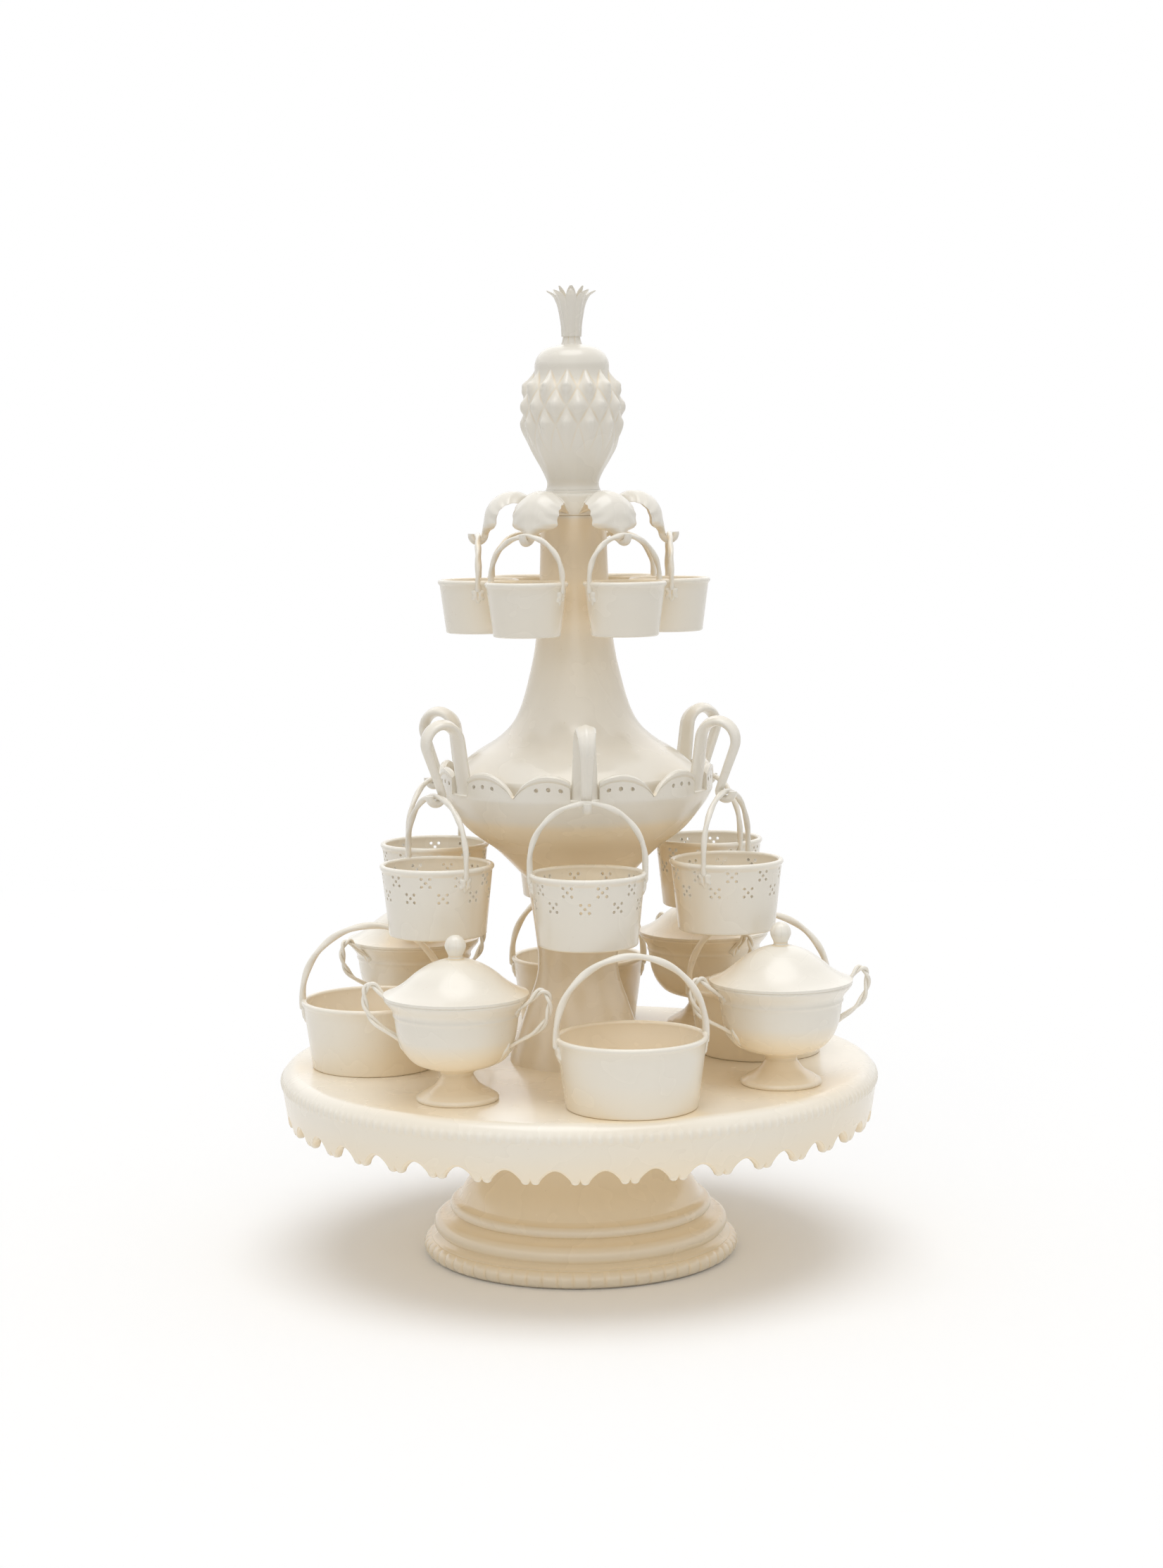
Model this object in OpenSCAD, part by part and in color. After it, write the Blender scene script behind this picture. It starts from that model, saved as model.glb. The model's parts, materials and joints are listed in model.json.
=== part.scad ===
// Cream-glazed earthenware centrepiece: a footed platter, a stem with a lobed bowl,
// a trumpet column with a canopy of leaves, and a pineapple finial, hung and set with
// small serving vessels.
// Millimetres, +Z up, origin on the table under the middle of the foot.
// Bearings turn from the front (-Y) towards the right (+X).

/* [Stand] */
// Radius of the foot on the table
foot_r = 100.5; // [96:0.5:106]
// Radius of the foot at its narrowest
foot_waist_r = 58; // [52:1:64]
// Radius of the foot under the platter
foot_neck_r = 82; // [74:1:92]
// Wall thickness of the foot
foot_wall = 6; // [5:0.5:7]
// Height of the platter's flat top above the table
stand_h = 123; // [116:1:132]
// Radius of the platter at its widest
platter_r = 189; // [187:0.5:198]
// Thickness of the platter
platter_t = 9; // [7:0.5:11]
// Radius of the platter's rounded edge
edge_r = 9; // [7:0.5:11]
// Depth of the apron below the platter's top
apron_h = 36; // [32:1:40]
// Thickness of the apron
apron_t = 5; // [4:0.5:6]
// How far the apron leans in at its lower edge
apron_lean = 4; // [2:0.5:6]
// Number of scallops round the apron
scallop_n = 40; // [36:2:44]
// Height of each scallop
scallop_rise = 8.5; // [6:0.5:10]
// Width of the lobe left between two scallops
scallop_lobe = 5; // [3:0.5:7]

/* [Stem and bowl] */
// Radius of the stem's foot on the platter
stem_foot_r = 44; // [41:0.5:48]
// Radius of the stem at its narrowest
stem_waist_r = 25.5; // [23:0.5:28]
// Radius of the stem under the bowl
stem_top_r = 32; // [30:0.5:34]
// Height of the stem
stem_h = 117; // [113:1:122]
// Wall thickness of the stem and bowl
stem_wall = 5; // [4:0.5:6]
// Radius of the boss on the platter that centres the stem
boss_r = 30; // [26:0.5:33]
// Height of the centring boss
boss_h = 5; // [4:0.5:7]
// Radius of the bowl's rim
bowl_r = 86; // [84.5:0.5:88]
// Height of the bowl from the stem to its shelf
bowl_h = 58; // [54:1:62]
// Thickness of the shelf that closes the bowl's mouth
shelf_t = 4; // [3:0.5:5]
// Height of the lobes above the shelf
lobe_rise = 14.5; // [11:0.5:16]
// Thickness of the lobed gallery
lobe_t = 3.5; // [3:0.5:4.5]

/* [Column] */
// Radius of the column's skirt on the shelf
col_foot_r = 70; // [66:0.5:73]
// Height of the column's skirt
col_skirt = 12; // [10:0.5:14]
// Radius of the column under the canopy
col_neck_r = 20.5; // [19.5:0.5:22]
// Radius of the spigot that carries the canopy
spigot_r = 17.5; // [16.5:0.25:18]
// Length of the spigot
spigot_h = 16; // [14:0.5:18]
// Height of the column from the shelf to its top
col_h = 186; // [180:1:192]
// Wall thickness of the column
col_wall = 5; // [4:0.5:6]
// Thickness of the collar that joins the leaves
collar_t = 3.5; // [2.5:0.5:4.5]

/* [Finial] */
// Largest radius of the pineapple
pine_r = 33; // [30:0.5:36]
// Height of the pineapple
pine_h = 89.5; // [84:0.5:95]
// Radius of the peg under the pineapple
peg_r = 9.5; // [8.5:0.25:10.5]
// Length of the peg
peg_h = 14; // [10:0.5:16]
// Number of scales round the pineapple
scale_n = 14; // [12:2:16]
// Height of the scales
scale_out = 2.2; // [1.5:0.1:2.8]
// Height of the crown of leaves
crown_h = 36.5; // [32:0.5:40]
// Radius of the crown at its tips
crown_r = 16.8; // [14:0.2:19]
// Radius of the crown at its base
crown_neck_r = 7.6; // [6.5:0.1:8.4]

/* [Lower arms] */
// Radius of the ring on which the lower baskets hang
mid_ring_r = 103; // [101:0.5:106]
// Bearing of the first lower arm
mid_phase = 3.5; // [0:0.5:8]
// Height of the lower hooks' centres above the shelf
mid_hook_up = 0.6; // [-1:0.2:3]
// Height of the bow above the hooks' centres
bow_up = 32; // [29:0.2:36]
// Radius of the bow
bow_r = 11.5; // [10.5:0.25:12.5]
// Width of an arm where it stands on the shelf
arm_foot_w = 17; // [14:0.5:19]
// Thickness of an arm
arm_t = 6; // [5:0.25:6.5]
// Thickness of the hook at an arm's end
mid_hook_t = 4.8; // [4:0.2:5.4]

/* [Leaf canopy] */
// Radius of the ring on which the upper baskets hang
up_ring_r = 59.8; // [58.5:0.2:62]
// Bearing of the first leaf
up_phase = 31; // [28:0.5:34]
// Drop from the column's top to the upper hooks' centres
up_hook_drop = 27.6; // [26:0.2:29]
// Radius of a leaf's shoulder
leaf_bow_r = 16.5; // [15.5:0.25:17.25]
// Width of a leaf at its broadest
leaf_w = 32; // [28:0.5:33]
// Distance of a leaf's shoulder inside its hook
leaf_in = 21.8; // [21:0.2:23]
// Height of a leaf's shoulder above its hook
leaf_up = 9.1; // [8:0.1:10]
// Thickness of a leaf
leaf_t = 4; // [3:0.2:4.6]
// Thickness of the hook at a leaf's tip
up_hook_t = 4.2; // [3.6:0.2:4.6]

/* [Lower baskets] */
// Base radius of a lower basket
mid_base_r = 30; // [27:0.5:31.5]
// Rim radius of a lower basket
mid_rim_r = 35.2; // [33:0.2:37]
// Height of a lower basket
mid_h = 44; // [40:0.5:45]
// Height of its handle above the rim
mid_arch = 43; // [40:0.5:46]
// Thickness of its handle
mid_rod = 3.8; // [3.2:0.2:4.4]

/* [Upper baskets] */
// Base radius of an upper basket
up_base_r = 20.8; // [18.5:0.2:22.5]
// Rim radius of an upper basket
up_rim_r = 25.6; // [23.6:0.2:26.6]
// Height of an upper basket
up_h = 33.5; // [30:0.5:37]
// Height of its handle above the rim
up_arch = 29.2; // [28.6:0.2:33]
// Thickness of its handle
up_rod = 3.6; // [3:0.2:4]

/* [Platter baskets] */
// Base radius of a platter basket
pb_base_r = 39.3; // [36:0.5:42]
// Rim radius of a platter basket
pb_rim_r = 45.5; // [43:0.5:47]
// Height of a platter basket
pb_h = 43; // [40:0.5:46]
// Height of its handle above the rim
pb_arch = 48.6; // [48:0.2:50]
// Thickness of its handle
pb_rod = 4.5; // [3.8:0.1:5]

/* [Tureens] */
// Radius of a tureen's foot
tur_foot_r = 25; // [22:0.5:28]
// Radius of a tureen's waist
tur_waist_r = 9.7; // [8.5:0.1:11]
// Rim radius of a tureen
tur_rim_r = 43.6; // [42:0.2:45]
// Height of a tureen to its rim
tur_h = 62.5; // [60:0.5:64]
// Height of a cover's dome
cover_h = 22.5; // [20:0.5:23.5]
// Radius of a cover's knob
knob_r = 6.4; // [5.4:0.1:7]
// Depth of the flange under a cover
flange_h = 3; // [2:0.25:4]
// Reach of the handles from a tureen's axis
ear_reach = 60; // [57:0.5:61]
// Thickness of a tureen's handle
ear_rod = 4.4; // [3.8:0.1:5]

/* [Walls and clearances] */
// Wall thickness of the baskets
basket_wall = 2.6; // [2.2:0.1:3]
// Radius of the rolled rims
rim_bead = 1.7; // [1.4:0.1:1.9]
// Floor thickness of the vessels
vessel_floor = 3; // [2.5:0.25:3.5]
// Wall thickness of the tureens and covers
tur_wall = 3; // [2.5:0.25:3.5]
// Gap round a basket handle in its hook
hang_gap = 0.3; // [0.25:0.05:0.5]
// Gap round a peg, boss or flange in its seat
seat_gap = 0.4; // [0.3:0.05:0.8]

/* [Hidden] */
$fn = 48;
cream = [0.93, 0.88, 0.76];
arm_n = 6;
lobe_n = 2 * arm_n;
foot_top = stand_h - platter_t;
bowl_z = stand_h + stem_h;
shelf_z = bowl_z + bowl_h;
col_top = shelf_z + col_h;
ledge_z = col_top - spigot_h;
pine_top = col_top + pine_h;
ridge_r = col_foot_r - 8;
ridge_h = 4;
mid_hook_z = shelf_z + mid_hook_up;
mid_hook_r = mid_rod / 2 + hang_gap + mid_hook_t / 2;
mid_z = mid_hook_z + mid_rod / 2 - mid_arch - mid_h;
up_hook_z = col_top - up_hook_drop;
up_hook_r = up_rod / 2 + hang_gap + up_hook_t / 2;
up_z = up_hook_z + up_rod / 2 - up_arch - up_h;
arm_foot_r = bowl_r - 0.5 - arm_t / 2;
// Places on the platter: distance, bearing and the turn of the handles
basket_places = [
    [platter_r - 47, 12.6, 10],
    [platter_r - 71, 100, 0],
    [platter_r - 48, 180, 0],
    [platter_r - 59, -84, 0]];
tureen_places = [
    [platter_r - 53, -32.4, -15],
    [platter_r - 43, 57.6, 19],
    [platter_r - 48, 143, -60],
    [platter_r - 46, -130, 39]];

function last(p) = p[len(p) - 1];
function unit(v) = v / norm(v);
function turned(p) = [for (i = [len(p) - 1 : -1 : 0]) p[i]];
function arc(cx, cy, r, a0, a1, n) =
    [for (i = [0 : n]) [cx + r * cos(a0 + (a1 - a0) * i / n), cy + r * sin(a0 + (a1 - a0) * i / n)]];
function through(a, b, c, d, t) =
    0.5 * (2 * b + (c - a) * t + (2 * a - 5 * b + 4 * c - d) * t * t + (3 * b - a - 3 * c + d) * t * t * t);
// Smooth curve through the points of p, n steps to a span
function curve(p, n) = concat(
    [for (i = [0 : len(p) - 2]) for (k = [0 : n - 1])
        through(p[max(i - 1, 0)], p[i], p[i + 1], p[min(i + 2, len(p) - 1)], k / n)],
    [last(p)]);
function along(p, i) = unit(p[min(i + 1, len(p) - 1)] - p[max(i - 1, 0)]);
// The same line moved d towards the axis side of an upward profile
function inset(p, d) = [for (i = [0 : len(p) - 1]) p[i] + d * [-along(p, i)[1], along(p, i)[0]]];
// Value at t on a list of [t, value] stations
function blend(s, t, i = 0) =
    i >= len(s) - 2 || t <= s[i + 1][0]
        ? s[i][1] + (s[i + 1][1] - s[i][1]) * (t - s[i][0]) / (s[i + 1][0] - s[i][0])
        : blend(s, t, i + 1);
function faces(rings, sides) = concat(
    [[for (k = [0 : sides - 1]) k]],
    [for (i = [0 : rings - 2]) for (k = [0 : sides - 1]) each [
        [i * sides + k, (i + 1) * sides + k, (i + 1) * sides + (k + 1) % sides],
        [i * sides + k, (i + 1) * sides + (k + 1) % sides, i * sides + (k + 1) % sides]]],
    [[for (k = [sides - 1 : -1 : 0]) (rings - 1) * sides + k]]);

module at(r, bearing, z) {
    translate([r * sin(bearing), -r * cos(bearing), z])
        children();
}

module turn(pts) {
    rotate_extrude($fn = 96)
        polygon(pts);
}

// Strap along a path of [radius, height] points, with stations for width and thickness
// along it; sag bends the strap's edges down
module strap(path, widths, thicks, sides, sag) {
    n = len(path);
    pts = [for (i = [0 : n - 1]) for (k = [0 : sides - 1])
        let (t = i / (n - 1),
             a = 360 * k / sides,
             w = blend(widths, t),
             nv = [-along(path, i)[1], along(path, i)[0]],
             o = blend(thicks, t) / 2 * cos(a) - sag * w * pow(sin(a), 2) * blend([[0, 1], [0.7, 1], [1, 0]], t))
        [path[i][0] + nv[0] * o, w / 2 * sin(a), path[i][1] + nv[1] * o]];
    polyhedron(pts, [for (f = faces(n, sides)) turned(f)], convexity = 6);
}

// Line that follows its lead, rounds a bow clockwise and enters a hook the other way
function hooked(lead, c1, r1, c2, r2, tip, n) =
    let (a = last(lead),
         v = c1 - a,
         w = c2 - c1,
         a0 = atan2(v[1], v[0]) + acos(-r1 / norm(v)),
         a1 = atan2(w[1], w[0]) + acos((r1 + r2) / norm(w)))
    concat(lead,
        [for (i = [1 : 2]) a + (c1 + r1 * [cos(a0), sin(a0)] - a) * i / 3],
        arc(c1[0], c1[1], r1, a0, a1, n),
        [for (i = [1 : 2]) c1 + r1 * [cos(a1), sin(a1)]
            + (c2 - c1 - (r1 + r2) * [cos(a1), sin(a1)]) * i / 3],
        arc(c2[0], c2[1], r2, a1 + 180, tip, n));

// Stand
function foot_cove() = curve([
    [foot_r - 26, 35.5],
    [foot_r - 30, 44],
    [foot_waist_r + 3, 60],
    [foot_waist_r, 76],
    [foot_waist_r + 7, foot_top - 16],
    [foot_neck_r, foot_top]], 5);

module pedestal_foot() {
    color(cream)
        turn(concat(
            [[foot_r - 9, 0], [foot_r - 1.5, 0]],
            arc(foot_r - 5, 5.5, 5, -40, 90, 8),
            [[foot_r - 9, 11.5]],
            arc(foot_r - 15, 19, 5.2, -60, 90, 8),
            [[foot_r - 18.5, 25.5]],
            arc(foot_r - 23.5, 30.5, 3.6, -60, 90, 6),
            foot_cove(),
            [[foot_neck_r - foot_wall, foot_top]],
            turned(inset([for (i = [0 : len(foot_cove()) - 3]) foot_cove()[i]], foot_wall)),
            [[foot_r - 24, 20], [foot_r - 15, 8]]));
}

module platter() {
    tip_z = stand_h - apron_h;
    low_r = platter_r - apron_lean;
    pitch = 2 * PI * low_r / scallop_n;
    half = (pitch - scallop_lobe) / 2;
    cut_r = (half * half + scallop_rise * scallop_rise) / (2 * scallop_rise);
    color(cream)
        difference() {
            turn(concat(
                [[0, foot_top], [platter_r - edge_r - apron_t, foot_top]],
                [[low_r - apron_t, tip_z], [low_r, tip_z]],
                arc(platter_r - edge_r, stand_h - edge_r, edge_r, 0, 90, 8),
                [[boss_r, stand_h], [boss_r, stand_h + boss_h], [0, stand_h + boss_h]]));
            for (i = [0 : scallop_n - 1])
                rotate([0, 0, 360 * (i + 0.5) / scallop_n])
                    translate([low_r - 3 * apron_t, 0, tip_z + scallop_rise - cut_r])
                        rotate([0, 90, 0])
                            cylinder(r = cut_r, h = 5 * apron_t);
        }
}

// Stem and bowl
function stem_side() = curve([
    [stem_foot_r, 0],
    [stem_foot_r - 2, 8],
    [stem_waist_r + 6.5, 0.31 * stem_h],
    [stem_waist_r, 0.5 * stem_h],
    [stem_waist_r + 1.5, 0.72 * stem_h],
    [stem_top_r, stem_h]], 5);

module lower_stem() {
    side = stem_side();
    color(cream)
        translate([0, 0, stand_h])
            turn(concat(
                side,
                [[stem_top_r - stem_wall, stem_h]],
                turned(inset([for (i = [6 : len(side) - 2]) side[i]], stem_wall)),
                [[boss_r + seat_gap, boss_h + 2], [boss_r + seat_gap, 0]]));
}

function bowl_side() = curve([
    [stem_top_r, 0],
    [stem_top_r + 5, 5],
    [bowl_r - 35, 0.33 * bowl_h],
    [bowl_r - 18, 0.55 * bowl_h],
    [bowl_r - 7.5, 0.8 * bowl_h],
    [bowl_r - 3, 0.92 * bowl_h],
    [bowl_r, bowl_h - 1.5]], 4);

module scalloped_bowl() {
    side = bowl_side();
    wide = PI * bowl_r / lobe_n;
    lobe_cut = (wide * wide + lobe_rise * lobe_rise) / (2 * lobe_rise);
    inner = [for (p = inset(side, stem_wall)) if (p[1] < bowl_h - shelf_t - 0.5) p];
    color(cream)
        translate([0, 0, bowl_z]) {
            turn(concat(
                [[0, 0]],
                side,
                [[bowl_r, bowl_h], [ridge_r, bowl_h], [ridge_r, bowl_h + ridge_h]],
                [[ridge_r - 4, bowl_h + ridge_h], [ridge_r - 4, bowl_h - shelf_t]],
                [[last(inner)[0] - 0.5, bowl_h - shelf_t]],
                turned([for (p = inner) if (p[1] > vessel_floor + 3) p]),
                [[0, vessel_floor + 2]]));
            difference() {
                intersection() {
                    turn([[bowl_r - lobe_t, bowl_h], [bowl_r, bowl_h],
                        [bowl_r, bowl_h + lobe_rise], [bowl_r - lobe_t, bowl_h + lobe_rise]]);
                    for (i = [0 : lobe_n - 1])
                        rotate([0, 0, mid_phase - 90 + 360 * (i + 0.5) / lobe_n])
                            translate([bowl_r - 3 * lobe_t, 0, bowl_h + lobe_rise - lobe_cut])
                                rotate([0, 90, 0])
                                    cylinder(r = lobe_cut, h = 4 * lobe_t);
                }
                for (i = [0 : arm_n - 1])
                    rotate([0, 0, mid_phase - 90 + 360 * i / arm_n])
                        translate([bowl_r - 3 * lobe_t, -arm_foot_w / 2 - seat_gap, bowl_h])
                            cube([5 * lobe_t, arm_foot_w + 2 * seat_gap, 2 * lobe_rise]);
            }
        }
}

module lower_arm(i) {
    path = hooked(
        [[arm_foot_r, shelf_z], [arm_foot_r, shelf_z + 3]],
        [mid_ring_r - 5, mid_hook_z + bow_up], bow_r,
        [mid_ring_r, mid_hook_z], mid_hook_r, 365, 11);
    color(cream)
        rotate([0, 0, mid_phase - 90 + 360 * i / arm_n])
            strap(path,
                [[0, arm_foot_w], [0.14, 0.8 * arm_foot_w], [0.34, 12], [0.56, 7.5], [0.66, 5.6], [1, 5]],
                [[0, arm_t], [0.45, arm_t], [0.6, mid_hook_t], [1, mid_hook_t]], 8, 0);
}

// Column and canopy
function column_side() = curve([
    [col_foot_r, col_skirt],
    [col_foot_r - 8, col_skirt + 13],
    [col_foot_r - 27, col_skirt + 26.5],
    [col_neck_r + 9, 0.36 * col_h],
    [col_neck_r + 3.8, 0.5 * col_h],
    [col_neck_r + 1, 0.72 * col_h],
    [col_neck_r, col_h - spigot_h]], 5);

module trumpet_column() {
    side = column_side();
    bore = peg_r + seat_gap;
    color(cream)
        translate([0, 0, shelf_z])
            turn(concat(
                [[ridge_r + seat_gap, 0], [col_foot_r, 0]],
                side,
                [[spigot_r, col_h - spigot_h], [spigot_r, col_h], [bore, col_h]],
                [[bore, col_h - peg_h - 2]],
                turned(inset([for (i = [2 : len(side) - 3]) side[i]], col_wall)),
                [[ridge_r + seat_gap, ridge_h + 2]]));
}

module leaf_canopy() {
    path = hooked(
        [[spigot_r + collar_t / 2, ledge_z + 4.5]],
        [up_ring_r - leaf_in, up_hook_z + leaf_up], leaf_bow_r,
        [up_ring_r, up_hook_z], up_hook_r, 372, 9);
    color(cream) {
        translate([0, 0, ledge_z])
            turn([[spigot_r + 0.15, 0], [col_neck_r, 0], [spigot_r + collar_t, 5],
                [spigot_r + collar_t, spigot_h - 3.5], [spigot_r + collar_t - 1, spigot_h - 2],
                [spigot_r + 0.15, spigot_h - 2]]);
        for (i = [0 : arm_n - 1])
            rotate([0, 0, up_phase - 90 + 360 * i / arm_n])
                strap(path,
                    [[0, 18], [0.1, 21], [0.2, 0.84 * leaf_w], [0.3, 0.97 * leaf_w], [0.45, leaf_w],
                        [0.55, 0.97 * leaf_w], [0.6, 12], [0.66, 6.4], [0.74, 5.4], [1, 4.6]],
                    [[0, leaf_t], [0.5, leaf_t], [0.62, up_hook_t], [1, up_hook_t]], 8, 0.2);
    }
}

// Finial
function pine_side() = curve([
    [spigot_r - 0.5, 0],
    [spigot_r - 1, 6],
    [pine_r - 9, 20],
    [pine_r - 3, 30.5],
    [pine_r - 0.4, 42],
    [pine_r, 54],
    [pine_r - 2, 0.735 * pine_h],
    [pine_r - 8, pine_h - 9],
    [pine_r - 16, pine_h - 2.5],
    [crown_neck_r + 0.8, pine_h]], 3);

module pineapple() {
    side = pine_side();
    n = 5 * scale_n;
    rows = len(side);
    pts = [for (i = [0 : rows - 1]) for (k = [0 : n - 1])
        let (a = 360 * k / n,
             u = 180 * k / 5,
             v = 180 * (side[i][1] - 12) / 13.5,
             z = side[i][1],
             on = min(1, max(0, (z - 12) / 6)) * min(1, max(0, (pine_h - 9 - z) / 6)),
             r = side[i][0] - scale_out * on * (1 - pow(abs(sin((u + v) / 2) * sin((u - v) / 2)), 0.6)))
        [r * cos(a), r * sin(a), z]];
    color(cream)
        translate([0, 0, col_top])
            union() {
                polyhedron(pts, faces(rows, n), convexity = 6);
                translate([0, 0, -peg_h])
                    cylinder(r = peg_r, h = peg_h + 4);
            }
}

module pineapple_crown() {
    n = 48;
    out = 10;
    inn = 5;
    leaf = function (a) 0.62 + 0.38 * pow(abs(cos(4 * a)), 0.8);
    flare = function (t) crown_neck_r + (crown_r - crown_neck_r) * pow(t, 2.2);
    pts = concat(
        [for (i = [0 : out]) for (k = [0 : n - 1])
            let (a = 360 * k / n, t = i / out * leaf(a), r = flare(t))
            [r * cos(a), r * sin(a), crown_h * t]],
        [for (i = [inn : -1 : 0]) for (k = [0 : n - 1])
            let (a = 360 * k / n, t = 0.3 + (leaf(a) - 0.3) * i / inn, r = flare(t) - 2.2)
            [r * cos(a), r * sin(a), crown_h * t]]);
    color(cream)
        translate([0, 0, pine_top])
            polyhedron(pts, faces(out + 2 + inn, n), convexity = 8);
}

// Baskets
function basket_side(rb, rt, h) = concat(
    [[rb - 1.2, 0], [rb, 1.4], [rt - 1.2, h - 2 * rim_bead - 0.6]],
    arc(rt - rim_bead, h - rim_bead, rim_bead, -50, 90, 6));

module basket_block(rb, rt, h) {
    turn(concat([[0, 0]], basket_side(rb, rt, h), [[0, h]]));
}

module basket(rb, rt, h) {
    turn(concat(
        [[0, 1], [rb - 7, 1], [rb - 6, 0]],
        basket_side(rb, rt, h),
        arc(rt - rim_bead, h - rim_bead, rim_bead, 105, 180, 4),
        [[rb - basket_wall, vessel_floor + 1.5], [rb - basket_wall - 1.5, vessel_floor], [0, vessel_floor]]));
}

// Arched handle in the plane of local Y and Z, cut to the wall it is joined to
module arch_handle(rb, rt, h, rise, rod) {
    a = rt - 0.6;
    spring = h + rise - rod / 2 - a;
    difference() {
        union() {
            translate([0, 0, spring])
                rotate([90, 0, 90])
                    rotate_extrude(angle = 180, $fn = 96)
                        translate([a, 0])
                            circle(d = rod, $fn = 32);
            for (s = [-1, 1])
                translate([0, s * a, h - 6])
                    cylinder(d = rod, h = spring - h + 6);
            for (s = [-1, 1])
                translate([0, s * a, h - 6])
                    sphere(d = rod);
        }
        basket_block(rb, rt, h);
    }
}

module lower_place(i) {
    at(mid_ring_r, mid_phase + 360 * i / arm_n, mid_z)
        rotate([0, 0, mid_phase - 90 + 360 * i / arm_n])
            children();
}

module upper_place(i) {
    at(up_ring_r, up_phase + 360 * i / arm_n, up_z)
        rotate([0, 0, up_phase - 90 + 360 * i / arm_n])
            children();
}

module platter_place(p) {
    at(p[0], p[1], stand_h)
        rotate([0, 0, p[2] - 90])
            children();
}

module tureen_place(p) {
    at(p[0], p[1], stand_h)
        rotate([0, 0, p[2]])
            children();
}

module lower_basket(i) {
    color(cream)
        lower_place(i)
            basket(mid_base_r, mid_rim_r, mid_h);
}

module lower_basket_handle(i) {
    color(cream)
        lower_place(i)
            arch_handle(mid_base_r, mid_rim_r, mid_h, mid_arch, mid_rod);
}

module upper_basket(i) {
    color(cream)
        upper_place(i)
            basket(up_base_r, up_rim_r, up_h);
}

module upper_basket_handle(i) {
    color(cream)
        upper_place(i)
            arch_handle(up_base_r, up_rim_r, up_h, up_arch, up_rod);
}

module platter_basket(i) {
    color(cream)
        platter_place(basket_places[i])
            basket(pb_base_r, pb_rim_r, pb_h);
}

module platter_basket_handle(i) {
    color(cream)
        platter_place(basket_places[i])
            arch_handle(pb_base_r, pb_rim_r, pb_h, pb_arch, pb_rod);
}

// Tureens
function cup_side() = curve([
    [tur_waist_r, 16],
    [tur_waist_r + 3, 20.5],
    [0.46 * tur_rim_r, 0.4 * tur_h],
    [0.65 * tur_rim_r, 0.5 * tur_h],
    [0.79 * tur_rim_r, 0.615 * tur_h],
    [0.885 * tur_rim_r, 0.75 * tur_h],
    [tur_rim_r - 2.8, 0.9 * tur_h],
    [tur_rim_r - 0.4, tur_h - 1.2]], 4);

function cup_outside() = concat(
    [[tur_foot_r - 1, 0], [tur_foot_r, 1.2], [tur_foot_r - 0.8, 3]],
    curve([[tur_foot_r - 4, 5], [tur_waist_r + 4, 9.5], [tur_waist_r, 15]], 4),
    cup_side(),
    [[tur_rim_r - 0.4, tur_h]]);

mouth_r = tur_rim_r - 5;

module tureen(i) {
    inner = [for (p = inset(cup_side(), tur_wall)) if (p[1] > 0.384 * tur_h && p[1] < tur_h - 4) p];
    color(cream)
        tureen_place(tureen_places[i])
            turn(concat(
                [[0, 2.5], [tur_foot_r - 7, 2.5], [tur_foot_r - 5, 0]],
                cup_outside(),
                [[mouth_r, tur_h], [mouth_r, tur_h - 2]],
                turned(inner),
                [[0, 0.4 * tur_h - tur_wall]]));
}

function ear_path() = curve([
    [tur_rim_r - 5.2, 0.9 * tur_h],
    [tur_rim_r + 2.5, 0.985 * tur_h],
    [ear_reach - 8, 1.08 * tur_h],
    [ear_reach - 3.5, 1.05 * tur_h],
    [ear_reach - ear_rod / 2, 0.94 * tur_h],
    [ear_reach - 4.5, 0.8 * tur_h],
    [ear_reach - 11, 0.685 * tur_h],
    [tur_rim_r - 5.5, 0.585 * tur_h],
    [0.66 * tur_rim_r - 1.4, 0.51 * tur_h]], 3);

module tureen_handles(i) {
    color(cream)
        tureen_place(tureen_places[i])
            for (s = [0, 180])
                rotate([0, 0, s])
                    difference() {
                        strap(ear_path(), [[0, ear_rod], [1, ear_rod]], [[0, ear_rod], [1, ear_rod]], 8, 0);
                        turn(concat([[0, 0]], cup_outside(), [[0, tur_h]]));
                    }
}

function cover_side() = curve([
    [tur_rim_r, 1.8],
    [tur_rim_r - 5.6, 0.18 * cover_h],
    [tur_rim_r - 12.5, 0.36 * cover_h],
    [0.55 * tur_rim_r, 0.6 * cover_h],
    [0.37 * tur_rim_r, 0.83 * cover_h],
    [0.2 * tur_rim_r, 0.965 * cover_h],
    [5, cover_h]], 4);

module tureen_cover(i) {
    side = cover_side();
    inner = [for (p = inset(side, tur_wall)) if (p[0] < mouth_r - seat_gap - 3.5 && p[0] > 6) p];
    color(cream)
        tureen_place(tureen_places[i])
            translate([0, 0, tur_h])
                union() {
                    turn(concat(
                        [[tur_rim_r, 0]],
                        side,
                        [[0, cover_h], [0, cover_h - tur_wall]],
                        turned(inner),
                        [[mouth_r - seat_gap - 2.6, 0], [mouth_r - seat_gap - 2.2, -flange_h]],
                        [[mouth_r - seat_gap - 0.4, -flange_h], [mouth_r - seat_gap, 0]]));
                    translate([0, 0, cover_h - 1])
                        cylinder(r = 0.68 * knob_r, h = 0.6 * knob_r + 1);
                    translate([0, 0, cover_h + 1.25 * knob_r])
                        sphere(r = knob_r);
                }
}

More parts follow.
